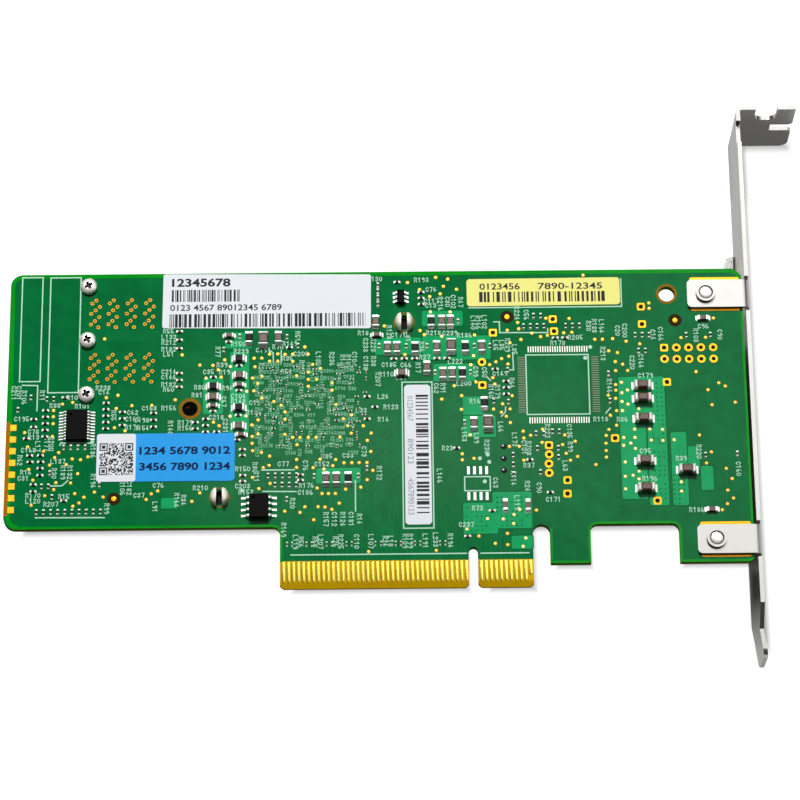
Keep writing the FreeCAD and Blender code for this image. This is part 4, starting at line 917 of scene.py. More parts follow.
class CARD_OT_finishes(bpy.types.Operator):
    """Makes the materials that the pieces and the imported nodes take"""

    bl_idname = "card.finishes"
    bl_label = "Make finishes"

    def execute(self, context):
        colours = context.scene.card_colours
        fine_grain()
        for name, colour, *values in FINISHES:
            grained(name, getattr(colours, colour), *values)
        board_finish(colours)
        steel = bpy.data.materials["steel_sheet"].node_tree.nodes["Principled BSDF"]
        steel.inputs["Specular Tint"].default_value = (0.5, 0.5, 0.49, 1.0)
        return {"FINISHED"}


class CARD_OT_nodes(bpy.types.Operator):
    """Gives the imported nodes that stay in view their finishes"""

    bl_idname = "card.nodes"
    bl_label = "Finish packed nodes"

    def execute(self, context):
        for node, finish in (
            ("circuit_board", "lacquer_board"), ("edge_test_pads", "gold_pad"),
            ("mounting_bracket", "steel_sheet"), ("controller_chip", "lid_nickel"),
            ("thermal_pad", "pad_grey"), ("heatsink", "anodised_black"),
            ("connector_frame", "mould_black"), ("port_insulators", "mould_black"),
            ("port_contacts", "gold_plate"), ("white_label", "paper_white"),
            ("yellow_label", "paper_yellow"), ("blue_label", "film_blue"), ("narrow_label", "paper_white"),
        ):
            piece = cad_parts[node]
            if not piece.material_slots:
                piece.data.materials.append(None)
            for place in piece.material_slots:
                place.material = bpy.data.materials[finish]
        return {"FINISHED"}


def copper_tracks(dice):
    """Paths of the tracks, each with the number of its level."""
    tracks = []
    free = list(ALL_VIAS)
    dice.shuffle(free)
    while len(free) > 1:
        start = free.pop()
        near = sorted(free, key=lambda spot: math.dist(spot, start))[:3]
        end = near[dice.randrange(len(near))]
        if math.dist(start, end) < LONGEST_TRACK:
            tracks.append((route(start, end), len(tracks) % VIA_LEVELS))
            free.remove(end)
    for lane in range(7):
        step = lane * 0.55
        slip = step * 0.4
        tracks.append(([
            (-72.6, 44.2 - step), (-71.2, 42.8 - step), (-65.4 + slip, 42.8 - step),
            (-57.0 + slip, 51.2 - step), (-47.5, 51.2 - step),
        ], VIA_LEVELS))
        drop = step * 0.6
        tracks.append(([
            (-75.0, 56.0 - drop), (-61.5 - step, 56.0 - drop), (-55.6 - step, 50.0 - drop),
            (-49.8, 50.0 - drop),
        ], VIA_LEVELS + 1))
    for middle, _ in spots("edge_contacts_solder_side"):
        x = middle.x
        climb = BARE_TOP + 3.5 + 6.5 * dice.random()
        lean = dice.choice((-1.2, -0.6, 0.6, 1.2))
        tracks.append(([
            (x, BARE_TOP), (x, climb), (x + lean, climb + abs(lean)), (x + lean, climb + 3.0),
        ], VIA_LEVELS + 2))
    for lane in range(16):
        x = -43.0 + lane * 1.55
        path = [(x, 24.0 - lane % 3), (x, 18.5 - lane % 4), (x + 6.5, 12.0 - lane % 4)]
        tracks.append((path, VIA_LEVELS + 3))
    for lane in range(9):
        x = -17.5 + lane * 0.42
        y = 36.0 - lane * 1.3
        tracks.append(([(x, y), (x - 9.0, y - 9.0), (x - 9.0, 12.0)], VIA_LEVELS + 4))
    return tracks


def rim_band(rim):
    """The copper-free band along the board's edge, slimmer from the shoulder down."""
    band = Pile()
    left = BOARD_LOW.x + rim / 2
    right = BOARD_HIGH.x - rim / 2
    top = BOARD_HIGH.y - rim / 2
    inner = CORNER_RADIUS - rim / 2
    slim = rim * 0.55
    half = slim / 2
    knee = INNER_RADIUS + half
    low_turn = SHOULDER - INNER_RADIUS
    wide_path = bend(left + CORNER_RADIUS, SHOULDER + CORNER_RADIUS, inner, 260, 180)
    wide_path += bend(left + inner, top - inner, inner, 180, 90)
    wide_path += bend(right - inner, top - inner, inner, 90, 30)
    end = BOARD_HIGH.x - half
    end_path = [(end, top - CORNER_RADIUS / 2), (end, LEG_FOOT + INNER_RADIUS)]
    shoulder_path = [(BOARD_LOW.x + CORNER_RADIUS, SHOULDER + half)]
    shoulder_path += bend(TONGUE_LEFT - INNER_RADIUS, low_turn, knee, 90, 0)
    shoulder_path += [(TONGUE_LEFT + half, BARE_TOP)]
    foot = LEG_FOOT + half
    leg_path = [(TAB_LEFT + half, SHOULDER - 1.0), (TAB_LEFT + half, foot), (TAB_RIGHT - half, foot)]
    leg_path += bend(TAB_RIGHT + INNER_RADIUS, low_turn, knee, 180, 90)
    leg_path += bend(LEG_LEFT - INNER_RADIUS, low_turn, knee, 90, 0)
    leg_path += [(LEG_LEFT + half, foot)]
    leg_path += bend(BOARD_HIGH.x - INNER_RADIUS, LEG_FOOT + INNER_RADIUS, INNER_RADIUS - half, 270, 350)
    for path, width, rise in (
        (wide_path, rim, 0.018), (end_path, slim, 0.016),
        (shoulder_path, slim, 0.017), (leg_path, slim, 0.017),
    ):
        band.stroke(path, width, SINK, rise, "lacquer_rim")
    band.lay("board_rim", "board")


class CARD_OT_copper(bpy.types.Operator):
    """Raises the copper areas and tracks that show through the lacquer"""

    bl_idname = "card.copper"
    bl_label = "Lay copper"

    def execute(self, context):
        sizes = context.scene.card_sizes
        dice = random.Random(11)
        pile = Pile()
        for index, (left, bottom, right, top) in enumerate(POURS):
            middle = ((left + right) / 2, (bottom + top) / 2)
            wide = right - left
            tall = top - bottom
            lift = index * POUR_STEP
            wide_gap = wide + POUR_GAP
            tall_gap = tall + POUR_GAP
            pile.block(*middle, wide_gap, tall_gap, SINK, GAP_RISE + lift, "lacquer_gap", corner=0.5)
            pile.block(*middle, wide, tall, SINK, POUR_RISE + lift, "lacquer_pour", corner=0.35)
        for left, bottom, right, top in DOTTED_POURS:
            for row in range(math.ceil(top - bottom)):
                for column in range(math.ceil(right - left)):
                    if dice.random() < DOT_SHARE:
                        pile.turned(left + column, bottom + row, DOT_PROFILE, "lacquer_dot", 8)
        for path, level in copper_tracks(dice):
            pile.stroke(path, sizes.track / MM, SINK, TRACK_RISE + level * TRACK_STEP, "lacquer_track")
        pile.lay("copper_under_lacquer", "board")
        rim_band(sizes.rim / MM)
        return {"FINISHED"}


class CARD_OT_lands(bpy.types.Operator):
    """Sets the plated vias, pads and rings on the solder face"""

    bl_idname = "card.lands"
    bl_label = "Set lands"

    def execute(self, context):
        width = context.scene.card_sizes.via_width / MM
        pile = Pile()
        for x, y in ALL_VIAS:
            on_copper = any(left < x < right and low < y < high for left, low, right, high in POURS)
            cap = "gold_pale" if on_copper else "gold_via"
            pile.disc(x, y, width / 2, 0.0, 0.024, "gold_pin", 12)
            pile.turned(x, y, ((width * 0.36, 0.01), (width * 0.36, 0.03), (width * 0.16, 0.038)), cap, 12)
        for top in PIN_TOPS:
            for column in PIN_COLUMNS:
                for right, up in PIN_STEPS:
                    x = column + right
                    y = top + up
                    pile.tube(x, y, PIN_HOLE, 0.4, 0.0, LAND_RISE, "gold_pin", 14)
                    # A dark disc in each pin hole: painted shade of the hole.
                    pile.disc(x, y, PIN_HOLE, 0.0, 0.012, "laminate_bare", 10)
        for x, y in SQUARE_PADS:
            pile.block(x, y, SQUARE_PAD, SQUARE_PAD, 0.0, LAND_RISE, "gold_pad", corner=0.28)
            # A dark disc in the pad's hole: painted shade.
            pile.disc(x, y, 0.5, 0.01, 0.034, "hole_dark", 16)
        pads = list(ROUND_PADS)
        for column in range(1, HEADER_COLUMNS):
            for row in range(2):
                pads.append((HEADER_START[0] + column * HEADER_PITCH, HEADER_START[1] - row * HEADER_PITCH))
        for x, y in pads:
            pile.tube(x, y, ROUND_HOLE, 0.86, 0.0, LAND_RISE, "gold_pad", 20)
            # A dark disc in the pad's hole: painted shade.
            pile.disc(x, y, ROUND_HOLE, 0.0, 0.022, "hole_dark", 16)
        for x, y in FIDUCIALS:
            pile.disc(x, y, 1.4, 0.0, 0.022, "laminate_bare", 28)
            pile.turned(x, y, ((0.5, 0.0), (0.5, 0.034), (0.4, 0.042)), "gold_pad", 20)
        for x, y, inner, outer in HOLE_RINGS:
            pile.tube(x, y, inner, outer, 0.0, RING_RISE, "gold_ring", 36)
        x, y, inner, _ = HOLE_RINGS[-1]
        # A dark barrel inside the hole: painted shade of its wall.
        pile.tube(x, y, inner - 0.09, inner - 0.02, -1.56, 0.02, "hole_dark", 36)
        for middle, _ in spots("heatsink_push_pins"):
            pile.tube(middle.x, middle.y, 1.9, 2.15, 0.0, RING_RISE, "gold_ring", 32)
        for middle, _ in spots("bracket_screws"):
            pile.block(middle.x + 2.0, middle.y + 0.15, 10.3, 7.5, 0.0, LAND_RISE, "gold_pad", corner=0.4)
        for step in range(TEST_PAD_COUNT):
            y = TEST_PAD_LOW + step * HEADER_PITCH
            pile.block(BOARD_LOW.x + 0.4, y, 0.76, 2.5, 0.0, LAND_RISE, "gold_strip")
        pile.lay("plated_lands", "gold")
        return {"FINISHED"}


class CARD_OT_contacts(bpy.types.Operator):
    """Cuts the edge contacts with pointed lead-in ends, on both faces"""

    bl_idname = "card.contacts"
    bl_label = "Cut edge contacts"

    def execute(self, context):
        for node, under in (("edge_contacts_solder_side", False), ("edge_contacts_component_side", True)):
            pile = Pile(under)
            for low, high in solids(node):
                outlines = []
                for side, heel, tip, toe, top in ((0.0, 0.45, 0.16, 0.0, 0.0), (0.1, 0.5, 0.24, 0.1, 0.03)):
                    left = low.x + side
                    right = high.x - side
                    outlines.append([
                        (left, low.y + heel), (low.x + tip, low.y + toe), (high.x - tip, low.y + toe),
                        (right, low.y + heel), (right, high.y - top), (left, high.y - top),
                    ])
                rise = high.z - low.z
                outer, inner = outlines
                pile.layers([(outer, 0.0), (outer, rise * 0.4), (inner, rise)], "gold_plate")
            pile.lay(node.replace("edge_contacts", "contact_fingers"), "gold", node)
        return {"FINISHED"}


def scattered(dice, start, steps, counts, stray):
    """Places of a grid, row by row, each moved a little at random when it is asked for."""
    for row in range(counts[1]):
        for column in range(counts[0]):
            x = start[0] + column * steps[0] + dice.uniform(-stray[0], stray[0])
            y = start[1] + row * steps[1] + dice.uniform(-stray[1], stray[1])
            yield x, y


def small_part(pile, x, y, turn, body, long, wide, ends="tin_dull"):
    """A small chip part: two lands, two tinned ends and a body between them."""
    tall = wide * 0.7
    spin = Matrix.Rotation(math.radians(turn), 2)
    for end in (-1, 1):
        land = spin @ Vector((end * long * 0.52, 0.0))
        cap = spin @ Vector((end * long * 0.4, 0.0))
        pile.block(x + land.x, y + land.y, long * 0.36, wide, 0.0, 0.06, ends, turn, cut=0.02)
        pile.block(x + cap.x, y + cap.y, long * 0.24, wide * 0.94, 0.0, tall, ends, turn, cut=0.05)
    pile.block(x, y, long * 0.58, wide * 0.88, 0.02, tall * 0.96, body, turn, cut=0.03)


class CARD_OT_small_parts(bpy.types.Operator):
    """Places the small chip parts on the solder face"""

    bl_idname = "card.small_parts"
    bl_label = "Place small parts"

    def execute(self, context):
        sizes = context.scene.card_sizes
        long = sizes.small_length / MM
        wide = sizes.small_width / MM
        dice = random.Random(5)
        pile = Pile()
        for body, turn, singles, rows in SMALL_PARTS:
            for x, y in singles:
                small_part(pile, x, y, turn, body, long, wide)
            for x, y, count, step_x, step_y in rows:
                for place in range(count):
                    small_part(pile, x + place * step_x, y + place * step_y, turn, body, long, wide)
        for x in FINGER_PARTS:
            small_part(pile, x, FINGER_PART_Y, 90, "ceramic_small", long * 0.8, wide * 0.6)
        for x, y, turn in LARGER_CHIPS:
            small_part(pile, x, y, turn, "ceramic_brown", 2.2, 1.0, "tin_bright")
        for x, y in scattered(dice, (-43.4, 30.4), (1.45, 1.32), (16, 14), (0.35, 0.3)):
            clear = all(math.dist((x, y), via) > 0.9 for via in VIAS_CONTROLLER)
            if clear and dice.random() < 0.5:
                body = dice.choice(("resistor_black", "ceramic_small"))
                small_part(pile, x, y, dice.choice((0, 90)), body, long * 0.6, wide * 0.62)
        for x, y in SOLDER_BUMPS:
            # A dark disc round each pin: painted shade of the hole.
            pile.disc(x, y, 0.62, 0.0, 0.02, "hole_dark", 20)
            pile.turned(x - 0.16, y + 0.18, ((0.22, 0.0), (0.2, 0.1), (0.1, 0.16)), "tin_bright", 12)
        pile.lay("small_chip_parts", "tin")
        return {"FINISHED"}


class CARD_OT_open_pads(bpy.types.Operator):
    """Tins the pad rows of the two places without a chip"""

    bl_idname = "card.open_pads"
    bl_label = "Tin open pads"

    def execute(self, context):
        pile = Pile()
        for finish, x, y, step_x, step_y, count, long, wide, high, cut in PAD_ROWS:
            for place in range(count):
                pile.block(x + place * step_x, y + place * step_y, long, wide, 0.0, high, finish, cut=cut)
        pile.lay("tinned_open_pads", "tin")
        return {"FINISHED"}


def reference(dice, letters):
    """A made-up reference mark: a letter and a number."""
    return dice.choice(letters) + str(dice.randrange(10, 240))


class CARD_OT_silk(bpy.types.Operator):
    """Prints the lines, frames, dots and made-up reference marks"""

    bl_idname = "card.silk"
    bl_label = "Print silk"

    def execute(self, context):
        sizes = context.scene.card_sizes
        line = sizes.silk_line / MM
        thin = sizes.mark_line / MM
        tall = sizes.mark_height / MM
        dice = random.Random(23)
        pile = Pile()
        for path in SILK_LINES:
            pile.stroke(path, line, 0.0, SILK_RISE, "silk_ink")
        for sides in SILK_FRAMES:
            pile.stroke(rectangle(*sides), line, 0.0, SILK_RISE, "silk_ink", closed=True)
        for x, y in SILK_DOTS:
            pile.disc(x, y, 0.42, 0.0, SILK_RISE, "silk_ink", 14)
        for places, turn in ((LEVEL_MARKS, 0), (UPWARD_MARKS, -90), (FINGER_MARKS, -90)):
            for x, y in places:
                pile.word(reference(dice, "CCRRRL"), x, y, tall, thin, "silk_ink", turn)
        for x, y in scattered(dice, (-43.6, 29.2), (2.1, 1.36), (10, 15), (0.5, 0.3)):
            if dice.random() < 0.85:
                text = reference(dice, "CCR")
                pile.word(text, x, y, tall * 0.7, thin, "silk_faint", dice.choice((0, 0, -90)))
        pile.lay("silk_print", "white_paper")
        return {"FINISHED"}


def gull_wing(pile, low, high, outward):
    """One bent lead in the room of its box, running outward along X, with its land and solder."""
    inside = low.x if outward > 0 else high.x
    reach = (high.x - low.x) * outward
    top = high.z - BOARD_HIGH.z
    thick = 0.17
    wide = high.y - low.y
    middle = (low.y + high.y) / 2
    left = middle + wide / 2
    right = middle - wide / 2
    rings = []
    for share, rise, slant in (
        (0.0, top - thick, 0.0), (0.24, top - thick, 0.0), (0.42, top * 0.5, 0.4),
        (0.56, 0.03, 0.0), (1.0, 0.03, 0.0),
    ):
        x = inside + reach * share
        lean = thick * outward * slant
        rings.append([
            (x - lean, left, rise), (x + lean, left, rise + thick),
            (x + lean, right, rise + thick), (x - lean, right, rise),
        ])
    if outward < 0:
        rings.reverse()
    pile.loft(rings, "tin_bright")
    toe = inside + reach
    pile.block(toe - reach * 0.12, middle, abs(reach) * 0.75, wide * 1.25, 0.0, 0.05, "tin_bright", cut=0.02)


def leaded_chip(name):
    """A moulded chip with bent leads on two sides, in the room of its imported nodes."""
    body = name + "_body"
    leads = name + "_leads"
    pile = Pile()
    low, high = node_box(body)
    middle = (low + high) / 2
    size = high - low
    foot = low.z - BOARD_HIGH.z
    head = high.z - BOARD_HIGH.z
    seam = foot + (head - foot) * 0.5
    pile.waisted(middle, size, ((0.16, foot), (0.0, seam), (0.14, head - 0.05), (0.24, head)), "chip_epoxy")
    pile.disc(low.x + 0.22 * size.x, high.y - 0.16 * size.y, 0.3, head - 0.02, head, "resistor_black", 18)
    for lead_low, lead_high in solids(leads):
        gull_wing(pile, lead_low, lead_high, 1 if lead_low.x > middle.x else -1)
    pile.lay(name, "chip", body, leads)


class CARD_OT_chips(bpy.types.Operator):
    """Moulds the leaded chips of the solder face"""

    bl_idname = "card.chips"
    bl_label = "Mould chips"

    def execute(self, context):
        for name in ("expander_chip", "memory_chip", "supervisor_chip"):
            leaded_chip(name)
        return {"FINISHED"}


def end_capped(kind, finish, slot, reach):
    """Chip parts with tinned ends and solder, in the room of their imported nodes."""
    bodies = kind + "_bodies"
    terminals = kind + "_terminals"
    pile = Pile()
    body_spots = spots(bodies)
    for middle, size in body_spots:
        pile.over(middle, size, 0.03, size.z, finish, cut=size.z * 0.17)
    for middle, size in spots(terminals):
        away = min((middle - spot[0] for spot in body_spots), key=lambda gap: gap.length)
        pile.over(middle, size, 0.0, size.z, "tin_bright", cut=size.z * 0.15)
        if abs(away.x) > abs(away.y):
            out = Vector((math.copysign(size.x / 2, away.x), 0.0))
            across = Vector((0.0, size.y / 2))
        else:
            out = Vector((0.0, math.copysign(size.y / 2, away.y)))
            across = Vector((size.x / 2, 0.0))
        way = out.normalized()
        rings = []
        for side in (-1, 1):
            edge = middle.xy + out + across * side * 0.94
            toe = edge + way * reach
            bow = edge + way * reach * 0.4
            rings.append([(*edge, 0.0), (*toe, 0.0), (*toe, 0.05), (*bow, 0.09), (*edge, size.z * 0.5)])
        if way.x * across.y - way.y * across.x > 0:
            rings.reverse()
        pile.loft(rings, "tin_bright")
    pile.lay(kind + "s", slot, bodies, terminals)


class CARD_OT_capacitors(bpy.types.Operator):
    """Builds the capacitors and beads of the solder face"""

    bl_idname = "card.capacitors"
    bl_label = "Build capacitors"

    def execute(self, context):
        end_capped("large_capacitor", "ceramic_brown", "ceramic", 0.55)
        end_capped("filter_capacitor", "ceramic_brown", "ceramic", 0.42)
        end_capped("filter_bead", "ferrite_dark", "ferrite", 0.42)
        return {"FINISHED"}


def bars(pile, left, right, bottom, top, module, low, dice, upright=False):
    """A row of printed bars of one to three modules, with gaps of the same kind."""
    place = left
    while place < right:
        width = min(module * dice.choice((1, 1, 2, 3)), right - place)
        spot = (place + width / 2, (bottom + top) / 2)
        size = (width, top - bottom)
        if upright:
            spot = spot[::-1]
            size = size[::-1]
        pile.block(*spot, *size, low, low + INK_RISE, "ink_black")
        place += width + module * dice.choice((1, 1, 2, 3))


def square_code(pile, left, bottom, low, dice):
    """A made-up square code with its three corner marks."""
    cells = 29
    cell = 6.9 / cells
    high = low + INK_RISE
    for row in range(cells):
        for column in range(cells):
            in_corner = (row < 8 or row > 20) and column < 8 or row > 20 and column > 20
            if not in_corner and dice.random() < 0.52:
                x = left + (column + 0.5) * cell
                y = bottom + (row + 0.5) * cell
                pile.block(x, y, cell, cell, low, high, "ink_black")
    reach = 3 * cell
    for column, row in ((3.5, 3.5), (3.5, 25.5), (25.5, 25.5)):
        x = left + column * cell
        y = bottom + row * cell
        path = rectangle(x - reach, y - reach, x + reach, y + reach)
        pile.stroke(path, cell, low, high, "ink_black", closed=True)
        pile.block(x, y, reach, reach, low, high, "ink_black")


class CARD_OT_labels(bpy.types.Operator):
    """Prints made-up numbers and bars on the four labels"""

    bl_idname = "card.labels"
    bl_label = "Print labels"

    def execute(self, context):
        dice = random.Random(41)
        low, high = node_box("white_label")
        face = high.z - BOARD_HIGH.z - 0.002
        pile = Pile()
        pile.number("12345678", low.x + 8.0, high.y - 1.95, 12.2, 1.9, face, "ink_black", bold=0.03)
        bars(pile, low.x + 1.9, low.x + 16.0, high.y - 6.25, high.y - 3.6, 0.14, face, dice)
        text = "0123 4567 89012345 6789"
        pile.number(text, low.x + 13.2, high.y - 7.6, 23.2, 1.4, face, "ink_black", bold=0.015)
        bars(pile, low.x + 1.5, high.x - 1.2, low.y + 0.55, low.y + 3.5, 0.19, face, dice)
        pile.lay("white_label_print", "white_paper")
        low, high = node_box("yellow_label")
        pile = Pile()
        for text, x, long in (("0123456", 6.9, 8.4), ("7890-12345", 21.6, 13.4)):
            pile.number(text, low.x + x, high.y - 1.85, long, 1.45, face, "ink_black", bold=0.015)
        bars(pile, low.x + 2.6, high.x - 3.0, low.y + 0.9, low.y + 3.2, 0.24, face, dice)
        pile.lay("yellow_label_print", "yellow_paper")
        low, high = node_box("blue_label")
        pile = Pile()
        split = low.x + 8.05
        middle = ((low.x + split) / 2 + 0.02, (low.y + high.y) / 2)
        size = (split - low.x - 0.06, high.y - low.y - 0.06)
        pile.block(*middle, *size, face, face + INK_RISE, "paper_white", corner=0.5)
        square_code(pile, low.x + 0.62, low.y + 1.45, face + 0.01, dice)
        for y, text in ((high.y - 3.75, "1234 5678 9012"), (low.y + 3.2, "3456 7890 1234")):
            pile.number(text, (split + high.x) / 2 - 0.1, y, 18.6, 1.75, face, "ink_navy", bold=0.03)
        pile.lay("blue_label_print", "blue_paper")
        low, high = node_box("narrow_label")
        pile = Pile()
        for y, text, long in (
            (high.y - 5.2, "01234567", 5.4), (high.y - 14.5, "890123", 5.4), (low.y + 6.0, "4567890123", 7.8),
        ):
            pile.number(text, low.x + 1.2, y, long, 1.2, face, "ink_grey", turn=-90)
        bars(pile, low.y + 2.4, high.y - 2.2, low.x + 2.35, high.x - 0.5, 0.26, face, dice, upright=True)
        pile.lay("narrow_label_print", "white_paper")
        return {"FINISHED"}


def rounds(node):
    """Place, radius, foot and head of each of a node's round solids, with rises from the solder face."""
    found = []
    for low, high in solids(node):
        middle = (low + high) / 2
        radius = (high.x - low.x) / 2
        found.append((middle.x, middle.y, radius, low.z - BOARD_HIGH.z, high.z - BOARD_HIGH.z))
    return found


class CARD_OT_screws(bpy.types.Operator):
    """Turns the connector's pan head screws and the bracket's screws"""

    bl_idname = "card.screws"
    bl_label = "Turn screws"

    def execute(self, context):
        pile = Pile()
        for x, y, radius, foot, head in rounds("connector_screws"):
            pile.driven(x, y, (
                (0.6, foot), (0.9, foot + 0.4), (0.9, 0.0), (radius, 0.0), (radius, head * 0.45),
                (radius * 0.94, head * 0.72), (radius * 0.78, head * 0.92), (radius * 0.58, head),
            ), 28, "screw_nickel")
        pile.lay("connector_screw_set", "screw", "connector_screws")
        pile = Pile()
        for x, y, radius, foot, tip in rounds("bracket_screws"):
            profile = [(radius * 0.6, foot), (radius * 0.86, foot + 0.15), (radius, foot + 0.6)]
            profile += [(radius, UNDERSIDE), (1.3, UNDERSIDE)]
            rise = UNDERSIDE
            while rise < tip - 0.9:
                profile += [(1.45, rise + 0.12), (1.22, rise + 0.3)]
                rise += 0.36
            profile += [(1.34, tip - 0.4), (1.22, tip - 0.12), (1.0, tip - 0.03)]
            profile += [(0.5, tip - 0.01), (0.12, tip)]
            pile.driven(x, y, profile, 15, "screw_nickel", under=True)
        pile.lay("bracket_screw_set", "screw", "bracket_screws")
        return {"FINISHED"}


class CARD_OT_push_pins(bpy.types.Operator):
    """Builds the split push pins of the heatsink and their springs"""

    bl_idname = "card.push_pins"
    bl_label = "Build push pins"

    def execute(self, context):
        split = 0.62
        pile = Pile()
        for x, y, radius, foot, tip in rounds("heatsink_push_pins"):
            neck = UNDERSIDE + 0.4
            pile.turned(x, y, (
                (radius * 0.82, foot), (radius, foot + 0.2), (radius, foot + 0.8),
                (radius * 0.94, foot + 0.9), (1.45, foot + 0.9), (1.45, UNDERSIDE),
                (1.4, UNDERSIDE + 0.1), (1.4, neck),
            ), "brass_pin", 32)
            # The split ends take a pale finish, a painted highlight standing for the brass's bright
            # reflection.
            for side in (-1, 1):
                rings = []
                for spread, rise in (
                    (1.4, neck), (1.4, 0.0), (1.9, 0.02), (1.9, 0.4),
                    (1.78, tip - 0.7), (1.5, tip - 0.25), (1.05, tip),
                ):
                    ring = []
                    for step in range(13):
                        angle = math.pi * (step / 12 - 0.5)
                        across = split
                        if 0 < step < 12:
                            across += max(spread - split, 0.05) * math.cos(angle)
                        ring.append((x + side * across, y + side * spread * math.sin(angle), rise))
                    rings.append(ring)
                # The faces along the split take a dark finish: painted shade in the slot.
                pile.loft(rings, "barb_bright", second="hole_dark", where=lambda step, corner: corner == 12)
            # A dark disc at the foot of the split: painted shade.
            pile.disc(x, y, 1.38, neck - 0.04, neck + 0.02, "hole_dark", 24)
        pile.lay("push_pin_set", "brass", "heatsink_push_pins")
        wire = 0.22
        turns = 5.5
        count = 132
        pile = Pile()
        for x, y, outer, foot, head in rounds("push_pin_springs"):
            rings = []
            for step in range(count + 1):
                share = step / count
                angle = 2 * math.pi * turns * share
                ease = min(max((share - 0.08) / 0.84, 0.0), 1.0)
                rise = foot + wire + (head - foot - 2 * wire) * ease
                ring = []
                for corner in range(8):
                    roll = 2 * math.pi * corner / 8
                    reach = outer - wire + wire * math.cos(roll)
                    ring.append((*polar(x, y, reach, angle), rise - wire * math.sin(roll)))
                rings.append(ring)
            pile.loft(rings, "spring_wire")
        pile.lay("pin_spring_set", "spring", "push_pin_springs")
        return {"FINISHED"}


def tinned(pile, terminals):
    """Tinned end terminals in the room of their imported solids."""
    for middle, size in spots(terminals):
        pile.over(middle, size, 0.0, size.z, "tin_bright", cut=0.05)


def component_face_pieces():
    """The larger parts of the component face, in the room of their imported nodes."""
    pile = Pile(under=True)
    for middle, size in spots("power_inductor_bodies"):
        pile.over(middle, size, 0.1, size.z, "ferrite_dark", cut=0.35, corner=1.4)
        pile.tube(middle.x, middle.y, 2.35, 2.55, size.z - 0.1, size.z, "resistor_black", 32)
    tinned(pile, "power_inductor_terminals")
    pile.lay("power_inductors", "ferrite", "power_inductor_bodies", "power_inductor_terminals")
    pile = Pile(under=True)
    for middle, size in spots("polymer_capacitor_bodies"):
        levels = ((0.1, 0.1), (0.0, size.z * 0.5), (0.2, size.z - 0.08), (0.36, size.z))
        pile.waisted(middle, size, levels, "chip_epoxy")
        stripe = middle.x + size.x / 2 - 0.9
        pile.block(stripe, middle.y, 0.7, size.y - 0.6, size.z - 0.02, size.z, "silk_ink")
    tinned(pile, "polymer_capacitor_terminals")
    pile.lay("polymer_capacitors", "chip", "polymer_capacitor_bodies", "polymer_capacitor_terminals")
    pile = Pile(under=True)
    pitch = 0.65
    for middle, size in spots("regulator_chips") + spots("flash_chip"):
        pile.over(middle, size, 0.0, size.z, "chip_epoxy", cut=0.06)
        dot = (middle.x - size.x / 2 + 0.8, middle.y + size.y / 2 - 0.8)
        pile.disc(*dot, 0.28, size.z - 0.02, size.z, "resistor_black", 16)
        count = int(size.y / pitch)
        for step in range(count):
            y = middle.y + (step - (count - 1) / 2) * pitch
            for end in (-1, 1):
                x = middle.x + end * (size.x / 2 + 0.1)
                pile.block(x, y, 0.5, 0.3, 0.0, 0.12, "tin_bright", cut=0.03)
    pile.lay("leadless_chips", "chip", "regulator_chips", "flash_chip")
    pile = Pile(under=True)
    for middle, size in spots("crystal"):
        pile.over(middle, size, 0.0, 0.5, "ceramic_brown", corner=0.5)
        lid = size - Vector((0.3, 0.3, 0.0))
        pile.over(middle, lid, 0.45, size.z, "lid_nickel", cut=0.12, corner=0.6)
    pile.lay("clock_crystal", "lid", "crystal")
    pile = Pile(under=True)
    for middle, size in spots("status_leds"):
        x, y = middle.xy
        pile.block(x, y, size.x * 0.94, size.y, 0.0, size.z * 0.4, "paper_white", cut=0.03)
        pile.block(x, y, size.x * 0.6, size.y * 0.9, size.z * 0.38, size.z, "lamp_clear", cut=0.12)
        for end in (-1, 1):
            pile.block(x + end * size.x * 0.42, y, size.x * 0.16, size.y, 0.0, size.z * 0.46, "gold_plate")
    pile.lay("status_lamps", "lamp", "status_leds")


class CARD_OT_component_side(bpy.types.Operator):
    """Builds the parts and print of the component face"""

    bl_idname = "card.component_side"
    bl_label = "Build component side"

    def execute(self, context):
        component_face_pieces()
        sizes = context.scene.card_sizes
        long = sizes.small_length / MM
        wide = sizes.small_width / MM
        line = sizes.silk_line / MM * 0.8
        thin = sizes.mark_line / MM
        tall = sizes.mark_height / MM
        dice = random.Random(77)
        parts = Pile(under=True)
        silk = Pile(under=True)
        lands = Pile(under=True)
        for left, bottom, right, top, columns, rows in COMPONENT_FIELDS:
            steps = ((right - left) / (columns - 1), (top - bottom) / (rows - 1))
            for x, y in scattered(dice, (left, bottom), steps, (columns, rows), (0.4, 0.4)):
                pick = dice.random()
                if pick < 0.5:
                    body = dice.choice(("resistor_black", "ceramic_brown"))
                    size = dice.choice((1.0, 1.0, 1.7))
                    small_part(parts, x, y, dice.choice((0, 90)), body, long * size, wide * size)
                elif pick < 0.75:
                    lands.disc(x, y, 0.41, 0.0, 0.014, "gold_pin", 12)
                    lands.turned(x, y, ((0.3, 0.01), (0.3, 0.024), (0.13, 0.03)), "gold_via", 12)
                else:
                    text = reference(dice, "CRL")
                    silk.word(text, x, y, tall, thin, "silk_ink", dice.choice((0, 90)))
        for node in (
            "power_inductor_bodies", "polymer_capacitor_bodies", "regulator_chips", "flash_chip", "crystal",
        ):
            for low, high in solids(node):
                path = rectangle(low.x - 0.6, low.y - 0.5, high.x + 0.6, high.y + 0.5)
                silk.stroke(path, line, 0.0, 0.02, "silk_ink", closed=True)
        for x, y, inner, outer in HOLE_RINGS:
            lands.tube(x, y, inner, outer, 0.0, RING_RISE, "gold_ring", 36)
        parts.lay("component_side_parts", "tin")
        silk.lay("component_side_print", "white_paper")
        lands.lay("component_side_lands", "gold")
        return {"FINISHED"}


